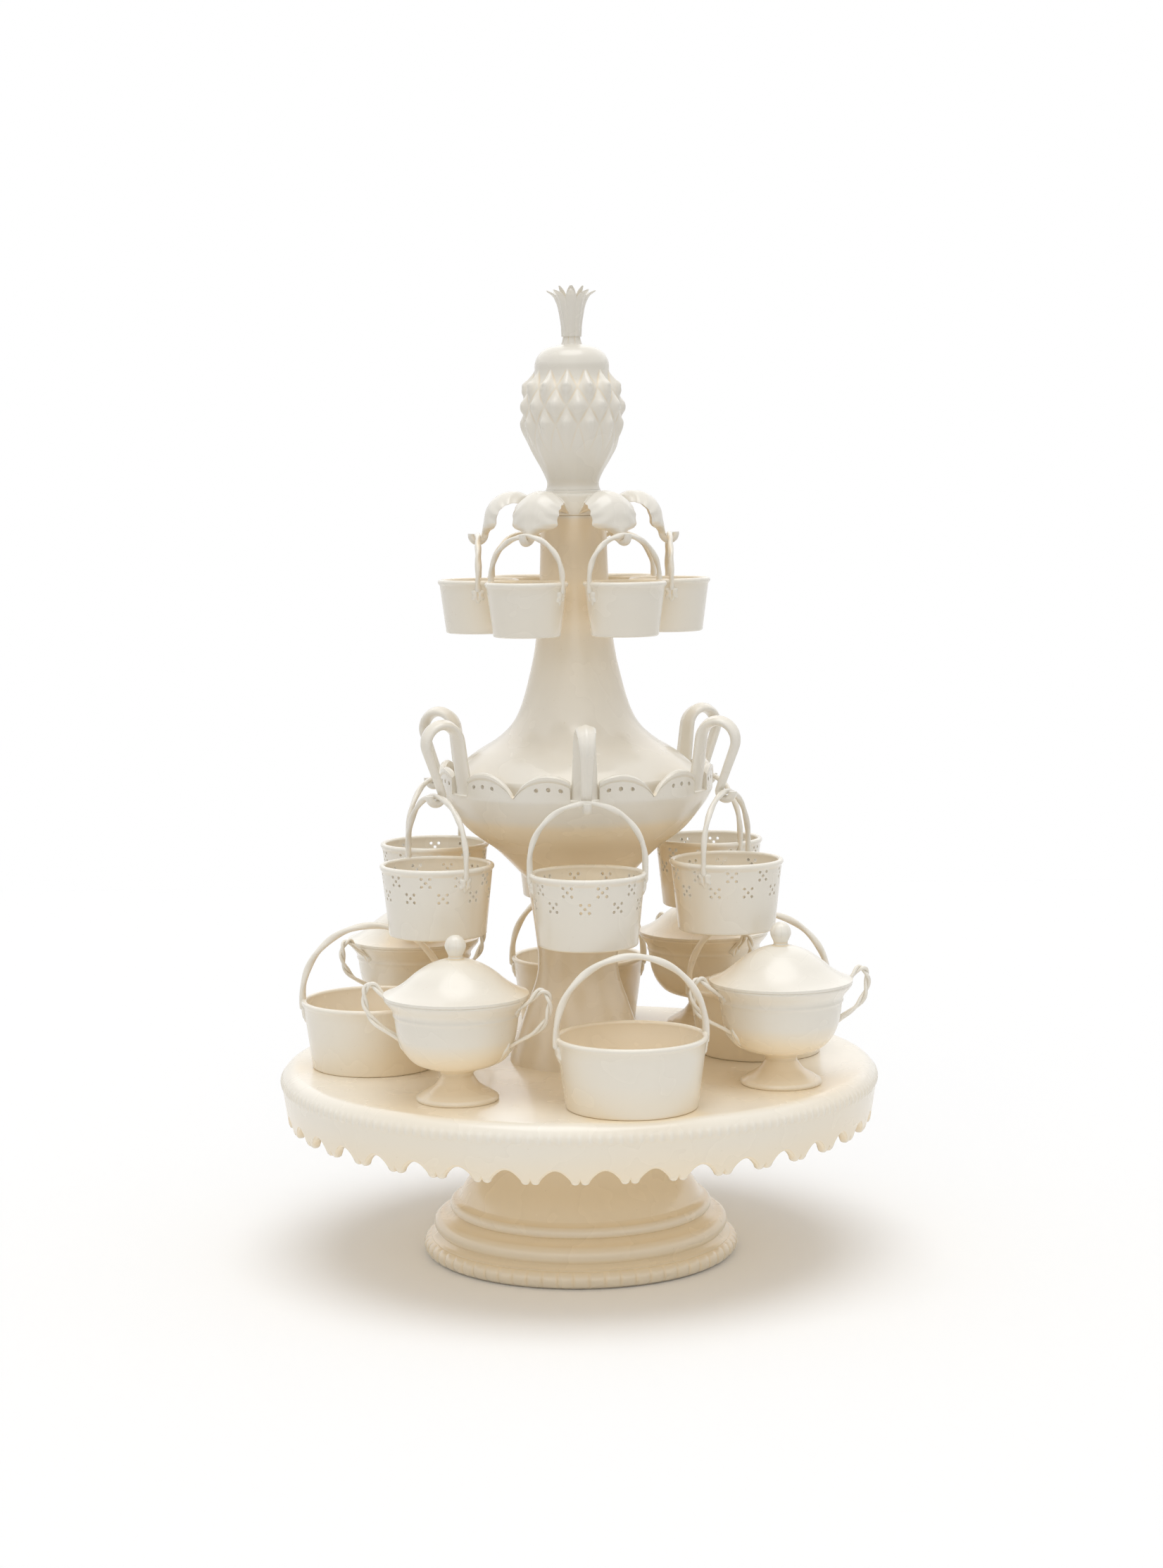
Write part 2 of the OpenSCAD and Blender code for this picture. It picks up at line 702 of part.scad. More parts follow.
pedestal_foot();
platter();
lower_stem();
scalloped_bowl();
lower_arm(0);  // lower_arm_1
lower_arm(1);  // lower_arm_2
lower_arm(2);  // lower_arm_3
lower_arm(3);  // lower_arm_4
lower_arm(4);  // lower_arm_5
lower_arm(5);  // lower_arm_6
trumpet_column();
leaf_canopy();
pineapple();
pineapple_crown();
lower_basket(0);  // lower_basket_1
lower_basket(1);  // lower_basket_2
lower_basket(2);  // lower_basket_3
lower_basket(3);  // lower_basket_4
lower_basket(4);  // lower_basket_5
lower_basket(5);  // lower_basket_6
lower_basket_handle(0);  // lower_basket_handle_1
lower_basket_handle(1);  // lower_basket_handle_2
lower_basket_handle(2);  // lower_basket_handle_3
lower_basket_handle(3);  // lower_basket_handle_4
lower_basket_handle(4);  // lower_basket_handle_5
lower_basket_handle(5);  // lower_basket_handle_6
upper_basket(0);  // upper_basket_1
upper_basket(1);  // upper_basket_2
upper_basket(2);  // upper_basket_3
upper_basket(3);  // upper_basket_4
upper_basket(4);  // upper_basket_5
upper_basket(5);  // upper_basket_6
upper_basket_handle(0);  // upper_basket_handle_1
upper_basket_handle(1);  // upper_basket_handle_2
upper_basket_handle(2);  // upper_basket_handle_3
upper_basket_handle(3);  // upper_basket_handle_4
upper_basket_handle(4);  // upper_basket_handle_5
upper_basket_handle(5);  // upper_basket_handle_6
platter_basket(0);  // platter_basket_1
platter_basket(1);  // platter_basket_2
platter_basket(2);  // platter_basket_3
platter_basket(3);  // platter_basket_4
platter_basket_handle(0);  // platter_basket_handle_1
platter_basket_handle(1);  // platter_basket_handle_2
platter_basket_handle(2);  // platter_basket_handle_3
platter_basket_handle(3);  // platter_basket_handle_4
tureen(0);  // tureen_1
tureen(1);  // tureen_2
tureen(2);  // tureen_3
tureen(3);  // tureen_4
tureen_handles(0);  // tureen_handles_1
tureen_handles(1);  // tureen_handles_2
tureen_handles(2);  // tureen_handles_3
tureen_handles(3);  // tureen_handles_4
tureen_cover(0);  // tureen_cover_1
tureen_cover(1);  // tureen_cover_2
tureen_cover(2);  // tureen_cover_3
tureen_cover(3);  // tureen_cover_4
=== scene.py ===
import json
from math import radians
from types import SimpleNamespace

import bpy
import numpy as np
from bpy.props import FloatProperty, FloatVectorProperty, IntProperty, PointerProperty
from mathutils import Euler, Matrix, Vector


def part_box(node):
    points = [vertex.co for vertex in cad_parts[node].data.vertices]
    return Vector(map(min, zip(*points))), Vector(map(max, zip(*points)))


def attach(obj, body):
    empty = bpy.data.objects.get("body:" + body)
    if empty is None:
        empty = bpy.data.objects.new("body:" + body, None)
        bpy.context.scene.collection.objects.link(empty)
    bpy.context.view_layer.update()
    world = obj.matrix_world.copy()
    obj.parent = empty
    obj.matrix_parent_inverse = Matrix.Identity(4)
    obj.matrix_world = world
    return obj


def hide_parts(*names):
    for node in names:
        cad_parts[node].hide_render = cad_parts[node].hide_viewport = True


bl_info = {
    "name": "Creamware centrepiece",
    "version": (1, 0, 0),
    "blender": (4, 5, 0),
    "location": "View3D > Sidebar > Centrepiece",
    "description": "Glazed surfaces for a tiered centrepiece with hanging baskets and tureens",
    "category": "Add Mesh",
}

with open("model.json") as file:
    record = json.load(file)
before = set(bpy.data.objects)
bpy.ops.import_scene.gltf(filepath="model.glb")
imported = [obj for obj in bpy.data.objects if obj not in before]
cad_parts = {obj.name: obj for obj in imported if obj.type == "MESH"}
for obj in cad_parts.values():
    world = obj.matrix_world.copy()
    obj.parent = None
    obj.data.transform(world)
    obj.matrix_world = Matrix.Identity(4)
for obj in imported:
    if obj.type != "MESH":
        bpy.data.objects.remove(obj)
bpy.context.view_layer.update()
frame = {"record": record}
BODY_OF = {node: body for body, nodes in frame["record"]["behaviour"]["bodies"].items() for node in nodes}
TURN = 2 * np.pi  # a full turn, in radians
MM = 1000  # millimetres in a metre
PLAY = 0.4  # gap round a seat, in millimetres
HOOKS = 6  # hooks on each ring
HANGERS = range(1, HOOKS + 1)  # numbers of the baskets on each ring of hooks
SERVERS = range(1, 5)  # numbers of the baskets, and of the tureens, on the platter


def corners(node):
    """Lowest and highest corners of a node, in millimetres."""
    return [MM * np.array(corner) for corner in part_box(node)]


def low(node):
    """Lowest level of a node, in millimetres."""
    return corners(node)[0][2]


def high(node):
    """Highest level of a node, in millimetres."""
    return corners(node)[1][2]


def reach(node):
    """Half the width of a node, in millimetres."""
    a, b = corners(node)
    return (b[0] - a[0]) / 2


def level_disc(node, part):
    """A level disc as wide as a node, at a part of its height: its middle and its radius, in millimetres."""
    a, b = corners(node)
    return *(a + (b - a) * [0.5, 0.5, part]), reach(node)


def middle(node):
    """Middle of a node from above and its lowest level, in millimetres."""
    return level_disc(node, 0)[:3]


# Properties


def length(label, text, mm):
    """A size that is written in millimetres and kept in metres."""
    return FloatProperty(name=label, description=text, default=mm / MM, min=0, unit="LENGTH", precision=4)


def count(label, text, n):
    """A number of like things."""
    return IntProperty(name=label, description=text, default=n, min=1)


def angle(label, text, degrees):
    """An angle that is written in degrees and kept in radians."""
    return FloatProperty(name=label, description=text, default=radians(degrees), subtype="ANGLE")


def tone(label, text, colour):
    """A colour, as linear red, green and blue."""
    return FloatVectorProperty(
        name=label, description=text, default=colour, size=3, min=0, max=1, subtype="COLOR")


def share(label, text, value):
    """A strength or weight."""
    return FloatProperty(name=label, description=text, default=value, min=0, subtype="FACTOR", precision=3)


class StandSizes(bpy.types.PropertyGroup):
    """Foot and platter."""

    foot_r: length("Foot radius", "Radius of the foot on the table", reach("pedestal_foot"))
    waist_r: length("Foot waist", "Radius of the foot at its narrowest", 58)
    neck_r: length("Foot neck", "Radius of the foot under the platter", 82)
    foot_wall: length("Foot wall", "Wall thickness of the foot", 6)
    foot_top: length("Foot height", "Height of the foot", high("pedestal_foot"))
    foot_ribs: count("Foot ribs", "Ribs round the foot's lower roll", 64)
    rib_depth: length("Rib depth", "Depth of the grooves between the ribs", 1.2)
    top: length("Platter height", "Height of the platter's flat top", low("lower_stem"))
    platter_r: length("Platter radius", "Radius of the platter at its widest", reach("platter"))
    edge_r: length("Platter edge", "Radius of the platter's rounded edge", 9)
    apron_h: length("Apron depth", "Depth of the apron below the platter's top", 36)
    apron_t: length("Apron wall", "Thickness of the apron", 5)
    apron_lean: length("Apron lean", "How far the apron leans in at its lower edge", 4)
    scallops: count("Scallops", "Scallops round the apron", 40)
    scallop_rise: length("Scallop height", "Height of each scallop", 8.5)
    flutes: count("Flutes in a scallop", "Flutes above each scallop", 5)
    flute_out: length("Flute height", "Height of the flutes on the platter's edge", 0.8)
    boss_r: length("Boss radius", "Radius of the boss that centres the stem", 30)
    boss_h: length("Boss height", "Height of the centring boss", 5)


class TierSizes(bpy.types.PropertyGroup):
    """Stem, bowl, arms, column and canopy."""

    stem_foot_r: length("Stem foot", "Radius of the stem's foot", 44)
    stem_waist_r: length("Stem waist", "Radius of the stem at its narrowest", 25.5)
    stem_top_r: length("Stem top", "Radius of the stem under the bowl", 32)
    stem_wall: length("Stem wall", "Wall thickness of the stem, bowl and column", 5)
    bowl_z: length("Bowl level", "Height of the bowl's underside", low("scalloped_bowl"))
    shelf_z: length("Shelf level", "Height of the shelf that closes the bowl", low("trumpet_column"))
    bowl_r: length("Bowl radius", "Radius of the bowl's rim", 86)
    lobe_rise: length("Lobe height", "Height of the lobes above the shelf", 14.5)
    lobe_t: length("Lobe wall", "Thickness of the lobed gallery", 3.5)
    pierce_r: length("Piercing radius", "Radius of the holes in the lobes", 1.4)
    arm_phase: angle("First arm", "Bearing of the first lower arm", 3.5)
    ring_r: length("Lower ring", "Radius of the ring of lower hooks", 103)
    hook_up: length("Lower hooks", "Height of the lower hooks above the shelf", 0.6)
    bow_up: length("Bow height", "Height of an arm's bow above its hook", 32)
    bow_r: length("Bow radius", "Radius of an arm's bow", 11.5)
    arm_w: length("Arm width", "Width of an arm at its root", 17)
    arm_t: length("Arm thickness", "Thickness of an arm", 6)
    skirt_r: length("Skirt radius", "Radius of the column's skirt", 70)
    skirt_h: length("Skirt height", "Height of the column's skirt", 12)
    neck_r: length("Column neck", "Radius of the column under the canopy", 20.5)
    spigot_r: length("Spigot radius", "Radius of the spigot that carries the canopy", 17.5)
    spigot_h: length("Spigot height", "Length of the spigot", 16)
    column_top: length("Column top", "Height of the column's top", high("trumpet_column"))
    leaf_phase: angle("First leaf", "Bearing of the first leaf", 31)
    leaf_ring_r: length("Upper ring", "Radius of the ring of upper hooks", 59.8)
    leaf_drop: length("Leaf drop", "Drop from the column's top to the upper hooks", 27.6)
    leaf_bow_r: length("Leaf shoulder", "Radius of a leaf's shoulder", 16.5)
    leaf_in: length("Shoulder reach", "Distance of a leaf's shoulder inside its hook", 21.8)
    leaf_up: length("Shoulder height", "Height of a leaf's shoulder above its hook", 9.1)
    leaf_w: length("Leaf width", "Width of a leaf at its broadest", 32)
    leaf_t: length("Leaf thickness", "Thickness of a leaf", 4)


class FinialSizes(bpy.types.PropertyGroup):
    """Pineapple and crown."""

    base_z: length("Pineapple level", "Height of the pineapple's base", high("trumpet_column"))
    pine_r: length("Pineapple radius", "Largest radius of the pineapple", 33)
    crown_z: length("Crown level", "Height of the crown's base", low("pineapple_crown"))
    scales: count("Scales", "Scales round the pineapple", 13)
    scale_z: length("First row", "Height of the lowest whole row of scales above the base", 40)
    scale_h: length("Scale rows", "Distance between rows of scales", 11.4)
    scale_out: length("Scale height", "Height of the scales", 3.3)
    peg_r: length("Peg radius", "Radius of the peg under the pineapple", 9.5)
    peg_h: length("Peg length", "Length of the peg", 14)
    crown_h: length("Crown height", "Height of the crown", high("pineapple_crown") - low("pineapple_crown"))
    crown_r: length("Crown radius", "Radius of the crown at its tips", reach("pineapple_crown"))


class VesselSizes(bpy.types.PropertyGroup):
    """Baskets and tureens."""

    lower_base_r: length("Lower basket base", "Base radius of a lower basket", 30)
    lower_arch: length("Lower handle", "Height of its handle above the rim", 43)
    lower_rod: length("Lower rod", "Thickness of its handle", 3.8)
    upper_base_r: length("Upper basket base", "Base radius of an upper basket", 20.8)
    upper_arch: length("Upper handle", "Height of its handle above the rim", 29.2)
    upper_rod: length("Upper rod", "Thickness of its handle", 3.6)
    server_base_r: length("Platter basket base", "Base radius of a platter basket", 39.3)
    server_arch: length("Platter handle", "Height of its handle above the rim", 48.6)
    server_rod: length("Platter rod", "Thickness of its handle", 4.5)
    wall: length("Basket wall", "Wall thickness of the baskets", 2.6)
    bead: length("Rim roll", "Radius of the rolled rims", 1.7)
    floor: length("Vessel floor", "Floor thickness of the vessels", 3)
    hole_r: length("Hole radius", "Radius of the piercings under the lower rims", 1)
    hole_rise: length("Hole rows", "Distance between rows of piercings", 2.45)
    zigzags: count("Zigzags", "Zigzags of piercings round a lower basket", 10)
    tureen_foot_r: length("Tureen foot", "Radius of a tureen's foot", 25)
    tureen_waist_r: length("Tureen waist", "Radius of a tureen's waist", 9.7)
    tureen_r: length("Tureen rim", "Rim radius of a tureen", 43.6)
    tureen_h: length("Tureen height", "Height of a tureen to its rim", 62.5)
    cover_h: length("Cover height", "Height of a cover's dome", 22.5)
    tureen_wall: length("Tureen wall", "Wall thickness of the tureens and covers", 3)
    ear_reach: length("Ear reach", "Reach of the ears from a tureen's axis", 60)
    strand_r: length("Strand radius", "Radius of each strand of an ear", 1.15)


class GlazeTones(bpy.types.PropertyGroup):
    """Cream glaze."""

    pale: tone("Thin glaze", "Colour of the glaze where it lies thin", (0.899, 0.857, 0.769))
    cream: tone("Glaze", "Colour of the glaze", (0.899, 0.842, 0.732))
    # painted shade: a warmer, darker tone laid on where the pieces above keep light off
    deep: tone("Deep glaze", "Colour of the glaze in sheltered places", (0.98, 0.82, 0.576))
    pooled: tone("Pooled glaze", "Colour of the glaze where it gathers", (0.9, 0.755, 0.53))
    speck: tone("Speck", "Colour of the fine specks in the body", (0.62, 0.5, 0.33))
    gloss: share("Gloss", "Weight of the clear coat", 0.22)


class StageSetting(bpy.types.PropertyGroup):
    """Floor, light and camera."""

    floor: tone("Floor", "Colour of the floor", (0.985, 0.985, 0.985))
    lift: share("Floor lift", "Light added to the floor where it is seen", 0.015)
    sky: share("Sky", "Strength of the even studio light", 0.145)
    silk: share("Overhead silk", "Strength of the light from above that casts the shadow", 1.05)
    wide: share("Wide silk", "Strength of the broad light from all round above", 1.53)
    front: share("Front silk", "Strength of the broad light from the front", 0.235)
    lens: FloatProperty(name="Lens", description="Focal length", default=65.34, unit="CAMERA")
    eye_back: length("Eye distance", "Distance of the camera", 1786)
    eye_up: length("Eye height", "Height of the camera", 497)
    pitch: angle("Pitch", "Tilt of the camera below the horizon", 6.32)
    roll: angle("Roll", "Roll of the camera", -0.6)
    shift: FloatProperty(name="Shift", description="Sideways shift of the picture", default=0.0034)


def fields(group):
    """The properties of a group that a user sees."""
    return [p for p in group.bl_rna.properties if p.identifier not in ("rna_type", "name")]


def in_mm(context, name):
    """The values of one group of settings, with its lengths in millimetres."""
    group = getattr(context.scene.centrepiece, name)
    return SimpleNamespace(**{
        p.identifier: getattr(group, p.identifier) * (MM if p.unit == "LENGTH" else 1)
        for p in fields(group)})


# Lines and surfaces, in millimetres


def curve(points, steps):
    """Smooth line through the points: each span is the cubic that leaves and enters its two points
    along the chord of their neighbours."""
    p = np.asarray(points, float)
    q = np.vstack([p[:1], p, p[-1:]])
    t = (np.arange(steps) / steps)[None, :, None]
    a, b, c, d = (q[i:len(q) - 3 + i, None] for i in range(4))
    line = 0.5 * (2 * b + (c - a) * t + (2 * a - 5 * b + 4 * c - d) * t**2 + (3 * b - a - 3 * c + d) * t**3)
    return np.vstack([line.reshape(-1, p.shape[1]), p[-1:]])


def arc(cx, cy, r, start, end, steps):
    """Points of a circle from one angle to another, in degrees."""
    a = np.radians(np.linspace(start, end, steps + 1))
    return np.stack([cx + r * np.cos(a), cy + r * np.sin(a)], 1)


def straight(a, b, steps):
    """Even points from a to b, both ends included."""
    return np.linspace(np.asarray(a, float), np.asarray(b, float), steps + 1)


def along(line):
    """Unit directions of a line, from each point's two neighbours."""
    t = np.gradient(line, axis=0)
    return t / np.linalg.norm(t, axis=1, keepdims=True)


def inset(line, d):
    """The line moved d to its left."""
    t = along(line)
    return line + d * np.stack([-t[:, 1], t[:, 0]], 1)


def rounded(points, r, steps):
    """The corners of a line cut back by r and bridged with parabolas."""
    p = np.asarray(points, float)
    a, b, c = p[:-2], p[1:-1], p[2:]
    before, after = np.linalg.norm(a - b, axis=1), np.linalg.norm(c - b, axis=1)
    cut = np.minimum(r, 0.45 * np.minimum(before, after))[:, None]
    s, e = b + (a - b) / before[:, None] * cut, b + (c - b) / after[:, None] * cut
    t = np.linspace(0, 1, steps + 1)[None, :, None]
    bend = (1 - t)**2 * s[:, None] + 2 * t * (1 - t) * b[:, None] + t**2 * e[:, None]
    return np.vstack([p[:1], bend.reshape(-1, 2), p[-1:]])


def stations(t, pairs, soft=0):
    """Values at t on straight lines between [t, value] pairs, softened by a running mean."""
    at, value = np.transpose(pairs)
    v = np.interp(t, at, value)
    if soft:
        padded = np.concatenate([np.full(soft, v[0]), v, np.full(soft, v[-1])])
        v = np.convolve(padded, np.full(2 * soft + 1, 1 / (2 * soft + 1)), "valid")
    return v


def hooked(lead, c1, r1, c2, r2, tip, n):
    """Line that follows its lead, rounds a bow clockwise, crosses on the inner tangent to a hook and
    rounds that the other way up to the tip's angle."""
    lead, c1, c2 = np.asarray(lead, float), np.asarray(c1, float), np.asarray(c2, float)
    v, w = c1 - lead[-1], c2 - c1
    a0 = np.degrees(np.arctan2(v[1], v[0]) + np.arccos(-r1 / np.hypot(*v)))
    a1 = np.degrees(np.arctan2(w[1], w[0]) + np.arccos((r1 + r2) / np.hypot(*w)))
    bow = arc(*c1, r1, a0, a1, n)
    hook = arc(*c2, r2, a1 + 180, tip, n)
    return np.vstack([
        lead, straight(lead[-1], bow[0], 3)[1:3], bow, straight(bow[-1], hook[0], 3)[1:3], hook])


def ring(n):
    """n even angles round the axis."""
    return np.arange(n) * TURN / n


def from_front(turn):
    """Bearing of a turn that is counted from the front."""
    return turn - np.pi / 2


def lathe(r, z, angles):
    """Surface of revolution: radius and height by row, angle by column, each widened as needed."""
    r, z, a = np.broadcast_arrays(r, z, angles)
    return np.stack([r * np.cos(a), r * np.sin(a), z], -1)


def turned(profile, n):
    """A plain profile of [radius, height] points carried round the axis in n steps."""
    return lathe(profile[:, :1], profile[:, 1:], ring(n)[None])


def outward(verts, quads, tris):
    """The same shell with its faces turned outwards, so that tetrahedra from its middle to the faces add up
    to a positive volume."""
    faces = np.vstack([quads[:, [0, 1, 2]], quads[:, [0, 2, 3]], tris])
    a, b, c = (verts[faces[:, i]] - verts.mean(0) for i in range(3))
    if np.einsum("ij,ij->", a, np.cross(b, c)) < 0:
        quads, tris = quads[:, ::-1], tris[:, ::-1]
    return verts, quads, tris


def wall_quads(n, m, loop):
    """Corner numbers of the quads between neighbouring rows and columns, the columns closed round and
    the rows closed to a ring if loop; a quad keeps its row and column as its place in the array."""
    ids = np.arange(n * m).reshape(n, m)
    below, above = (ids, np.roll(ids, -1, 0)) if loop else (ids[:-1], ids[1:])
    return np.stack([below, np.roll(below, -1, 1), np.roll(above, -1, 1), above], -1)


def fans(grid):
    """Middle points of the first and last rows, and the triangles that join the rows to them."""
    n, m = grid.shape[:2]
    first, final = np.arange(m), np.arange(m) + (n - 1) * m
    tris = np.vstack([
        np.stack([np.full(m, n * m), np.roll(first, -1), first], 1),
        np.stack([np.full(m, n * m + 1), final, np.roll(final, -1)], 1)])
    return np.stack([grid[0].mean(0), grid[-1].mean(0)]), tris


def skin(grid, loop=False):
    """Closed shell over a grid of points: quads between rows and columns, the columns closed round, and
    the rows closed to a ring if loop or by a fan at each end if not."""
    quads = wall_quads(*grid.shape[:2], loop).reshape(-1, 4)
    verts, tris = grid.reshape(-1, 3), np.zeros((0, 3), int)
    if not loop:
        middles, tris = fans(grid)
        verts = np.vstack([verts, middles])
    return outward(verts, quads, tris)


def pierced(grid, outer, inner, rows, cells, hole):
    """Closed shell over a grid whose outer and inner walls are cut by round holes. Rows outer to
    outer + 3 rows climb the outer wall and rows inner to inner + 3 rows come down the inner one, three
    steps to a cell. In each cell named as (column, row) the nine quads give way to a ring of twelve
    between the cell's edge and a circle, on both walls, and a tube of twelve joins the circles. hole is
    the circle's half-width and half-height in steps."""
    n, m = grid.shape[:2]
    col, row = 3 * np.asarray(cells).T[..., None]
    top = inner + 3 * rows
    keep = np.ones((n - 1, m), bool)
    down, along_row = (d.ravel() for d in np.mgrid[0:3, 0:3])
    keep[outer + row + down, col + along_row] = False
    keep[top - row - 3 + down, col + along_row] = False
    edge = np.array([
        (0, 0), (1, 0), (2, 0), (3, 0), (3, 1), (3, 2), (3, 3), (2, 3), (1, 3), (0, 3), (0, 2), (0, 1)])
    turn = np.arctan2(edge[:, 1] - 1.5, edge[:, 0] - 1.5)
    cx, cy = col + 1.5 + hole[0] * np.cos(turn), row + 1.5 + hole[1] * np.sin(turn)
    x0, y0 = np.floor(cx).astype(int), np.floor(cy).astype(int)
    fx, fy = (cx - x0)[..., None], (cy - y0)[..., None]
    verts, faces, rings = [grid.reshape(-1, 3)], [wall_quads(n, m, False)[keep]], []
    total = n * m
    for start, way in ((outer, 1), (top, -1)):
        below, above = (
            (1 - fx) * grid[start + way * y, x0 % m] + fx * grid[start + way * y, (x0 + 1) % m]
            for y in (y0, y0 + 1))
        point = (1 - fy) * below + fy * above
        rings.append((start + way * (row + edge[:, 1])) * m + (col + edge[:, 0]) % m)
        rings.append(total + np.arange(cx.size).reshape(cx.shape))
        verts.append(point.reshape(-1, 3))
        total += cx.size
    e0, c0, e1, c1 = rings
    e0_on, c0_on, e1_on, c1_on = (np.roll(ids, -1, 1) for ids in rings)
    for quad in ((e0, e0_on, c0_on, c0), (e1, c1, c1_on, e1_on), (c0, c0_on, c1_on, c1)):
        faces.append(np.stack(quad, -1).reshape(-1, 4))
    middles, tris = fans(grid)
    tris = np.where(tris >= n * m, tris - n * m + total, tris)
    verts, quads = np.vstack(verts + [middles]), np.vstack(faces)
    used, where = np.unique(np.concatenate([quads.ravel(), tris.ravel()]), return_inverse=True)
    return outward(verts[used], where[:quads.size].reshape(-1, 4), where[quads.size:].reshape(-1, 3))


def strap(path, wide, thick, lift):
    """Strap along a path of [radius, height] points: an ellipse of the local width and thickness stands
    square to the path at each point; lift moves its points along the path's normal."""
    a = ring(lift.shape[1])[None]
    t = along(path)
    across = wide[:, None] / 2 * np.sin(a)
    off = thick[:, None] / 2 * np.cos(a) + lift
    return np.stack([path[:, :1] - t[:, 1:] * off, across, path[:, 1:] + t[:, :1] * off], -1)


def tube(path, radius, sides, twist=0.0, flat=0.0, plane=(1, 0, 0)):
    """Rod along a path that lies square to the plane's direction: a circle of the local radius, drawn in
    by flat on two opposite sides that turn by twist from point to point."""
    side = np.asarray(plane, float)
    t = along(path)
    up = np.cross(t, side)
    a = ring(sides)[None]
    step = np.arange(len(path))[:, None] * twist
    r = np.broadcast_to(radius, len(path))[:, None] * (1 - flat * np.sin(a - step)**2)
    return path[:, None] + r[..., None] * (np.cos(a)[..., None] * side + np.sin(a)[..., None] * up[:, None])


def leaf_pad(side, z, bearing, tall, broad, thick, lobes=3):
    """Leaf laid on a turned wall: polar rows out to a lobed edge and back behind the wall's face, raised as
    a low dome with a groove down its middle. Height runs along the wall's side line, width round it."""
    front_rows, back_rows, least = 9, 4, 0.08
    rho = np.concatenate([np.linspace(least, 1, front_rows), np.linspace(0.9, least, back_rows)])[:, None]
    front = (np.arange(len(rho)) < front_rows)[:, None]
    a = ring(36)[None]
    edge = 1 + 0.16 * np.cos(2 * lobes * a)
    x, y = broad / 2 * rho * edge * np.sin(a), tall / 2 * rho * edge * np.cos(a)
    dome = np.sqrt(np.clip(1 - rho**2, 0, 1)) * (1 - 0.4 * np.exp(-(x / (0.09 * broad))**2))
    r = np.interp(z + y, side[:, 1], side[:, 0]) + np.where(front, thick * dome, -0.7 * np.sqrt(1 - rho**2))
    return lathe(r, z + y, bearing + x / r)


def moved(shell, turn=0.0, to=(0, 0, 0)):
    """A shell turned about the upright axis, in radians, and carried to a place."""
    c, s = np.cos(turn), np.sin(turn)
    verts = shell[0] @ np.array([[c, s, 0], [-s, c, 0], [0, 0, 1]]) + np.asarray(to, float)
    return (verts, *shell[1:])


def joined(shells):
    """Several closed shells as one."""
    starts = np.cumsum([0] + [len(s[0]) for s in shells])
    faces = (np.vstack([s[i] + k for s, k in zip(shells, starts)]) for i in (1, 2))
    return (np.vstack([s[0] for s in shells]), *faces)


TINY = 1e-12  # least divisor
TIGHT = 700  # bend of a hollow that counts as tight, per metre
EVENED = 3  # rounds in which each vertex shares its bend with its neighbours
STAND_OFF = 15  # distance from a surface at which its shade from above is judged, in millimetres
LEAST_RISE = 1  # a disc shelters what lies at least this far below it, in millimetres
SHARP = radians(55)  # an edge that turns by more stays sharp


def surface(mesh):
    """Points and unit normals of a mesh's vertices."""
    arrays = []
    for source, name in ((mesh.vertices, "co"), (mesh.vertex_normals, "vector")):
        values = np.empty(3 * len(source), np.float32)
        source.foreach_get(name, values)
        arrays.append(values.reshape(-1, 3))
    return arrays


def hollows(mesh):
    """Bend of the surface at each vertex, from -1 on a sharp edge to 1 in a tight hollow: the mean step
    to its neighbours along its normal, over the mean square of the steps, evened out a little."""
    co, normal = surface(mesh)
    n = len(co)
    pair = np.empty(2 * len(mesh.edges), np.int32)
    mesh.edges.foreach_get("vertices", pair)
    a, b = pair.reshape(-1, 2).T
    step = co[b] - co[a]
    square = np.einsum("ij,ij->i", step, step)
    rise = np.bincount(a, np.einsum("ij,ij->i", step, normal[a]), n)
    rise += np.bincount(b, -np.einsum("ij,ij->i", step, normal[b]), n)
    squares = np.bincount(a, square, n) + np.bincount(b, square, n)
    bend = np.clip(2 * rise / np.maximum(squares, TINY) / TIGHT, -1, 1)
    neighbours = np.bincount(a, minlength=n) + np.bincount(b, minlength=n)
    for _ in range(EVENED):
        total = np.bincount(a, bend[b], n) + np.bincount(b, bend[a], n)
        bend = 0.5 * bend + 0.5 * total / np.maximum(neighbours, 1)
    return bend


SHADES = [  # discs that stand for the pieces that keep light from those below them
    level_disc("platter", 0.5), level_disc("scalloped_bowl", 0.5), level_disc("leaf_canopy", 0.5),
    *(level_disc(f"lower_basket_{i}", 0) for i in HANGERS),
    *(level_disc(f"platter_basket_{i}", 0.5) for i in SERVERS),
    *(level_disc(f"tureen_{i}", 0.6) for i in SERVERS)]


def shelter(mesh):
    """How much of the light from above each vertex loses, from 0 in the open to 1: the shares of the sky
    that the discs over it cover, seen from a little way out along its normal."""
    co, normal = surface(mesh)
    px, py, pz = (MM * co.astype(float) + STAND_OFF * normal).T
    total = np.zeros(len(co))
    for x, y, z, r in SHADES:
        up, aside = z - pz, np.hypot(px - x, py - y)
        far = np.sqrt((up**2 + (aside - r)**2) * (up**2 + (aside + r)**2))
        cover = 0.5 - 0.5 * (up**2 + aside**2 - r**2) / np.maximum(far, TINY)
        total += np.where(up > LEAST_RISE, cover, 0)
    return np.clip(total, 0, 1)


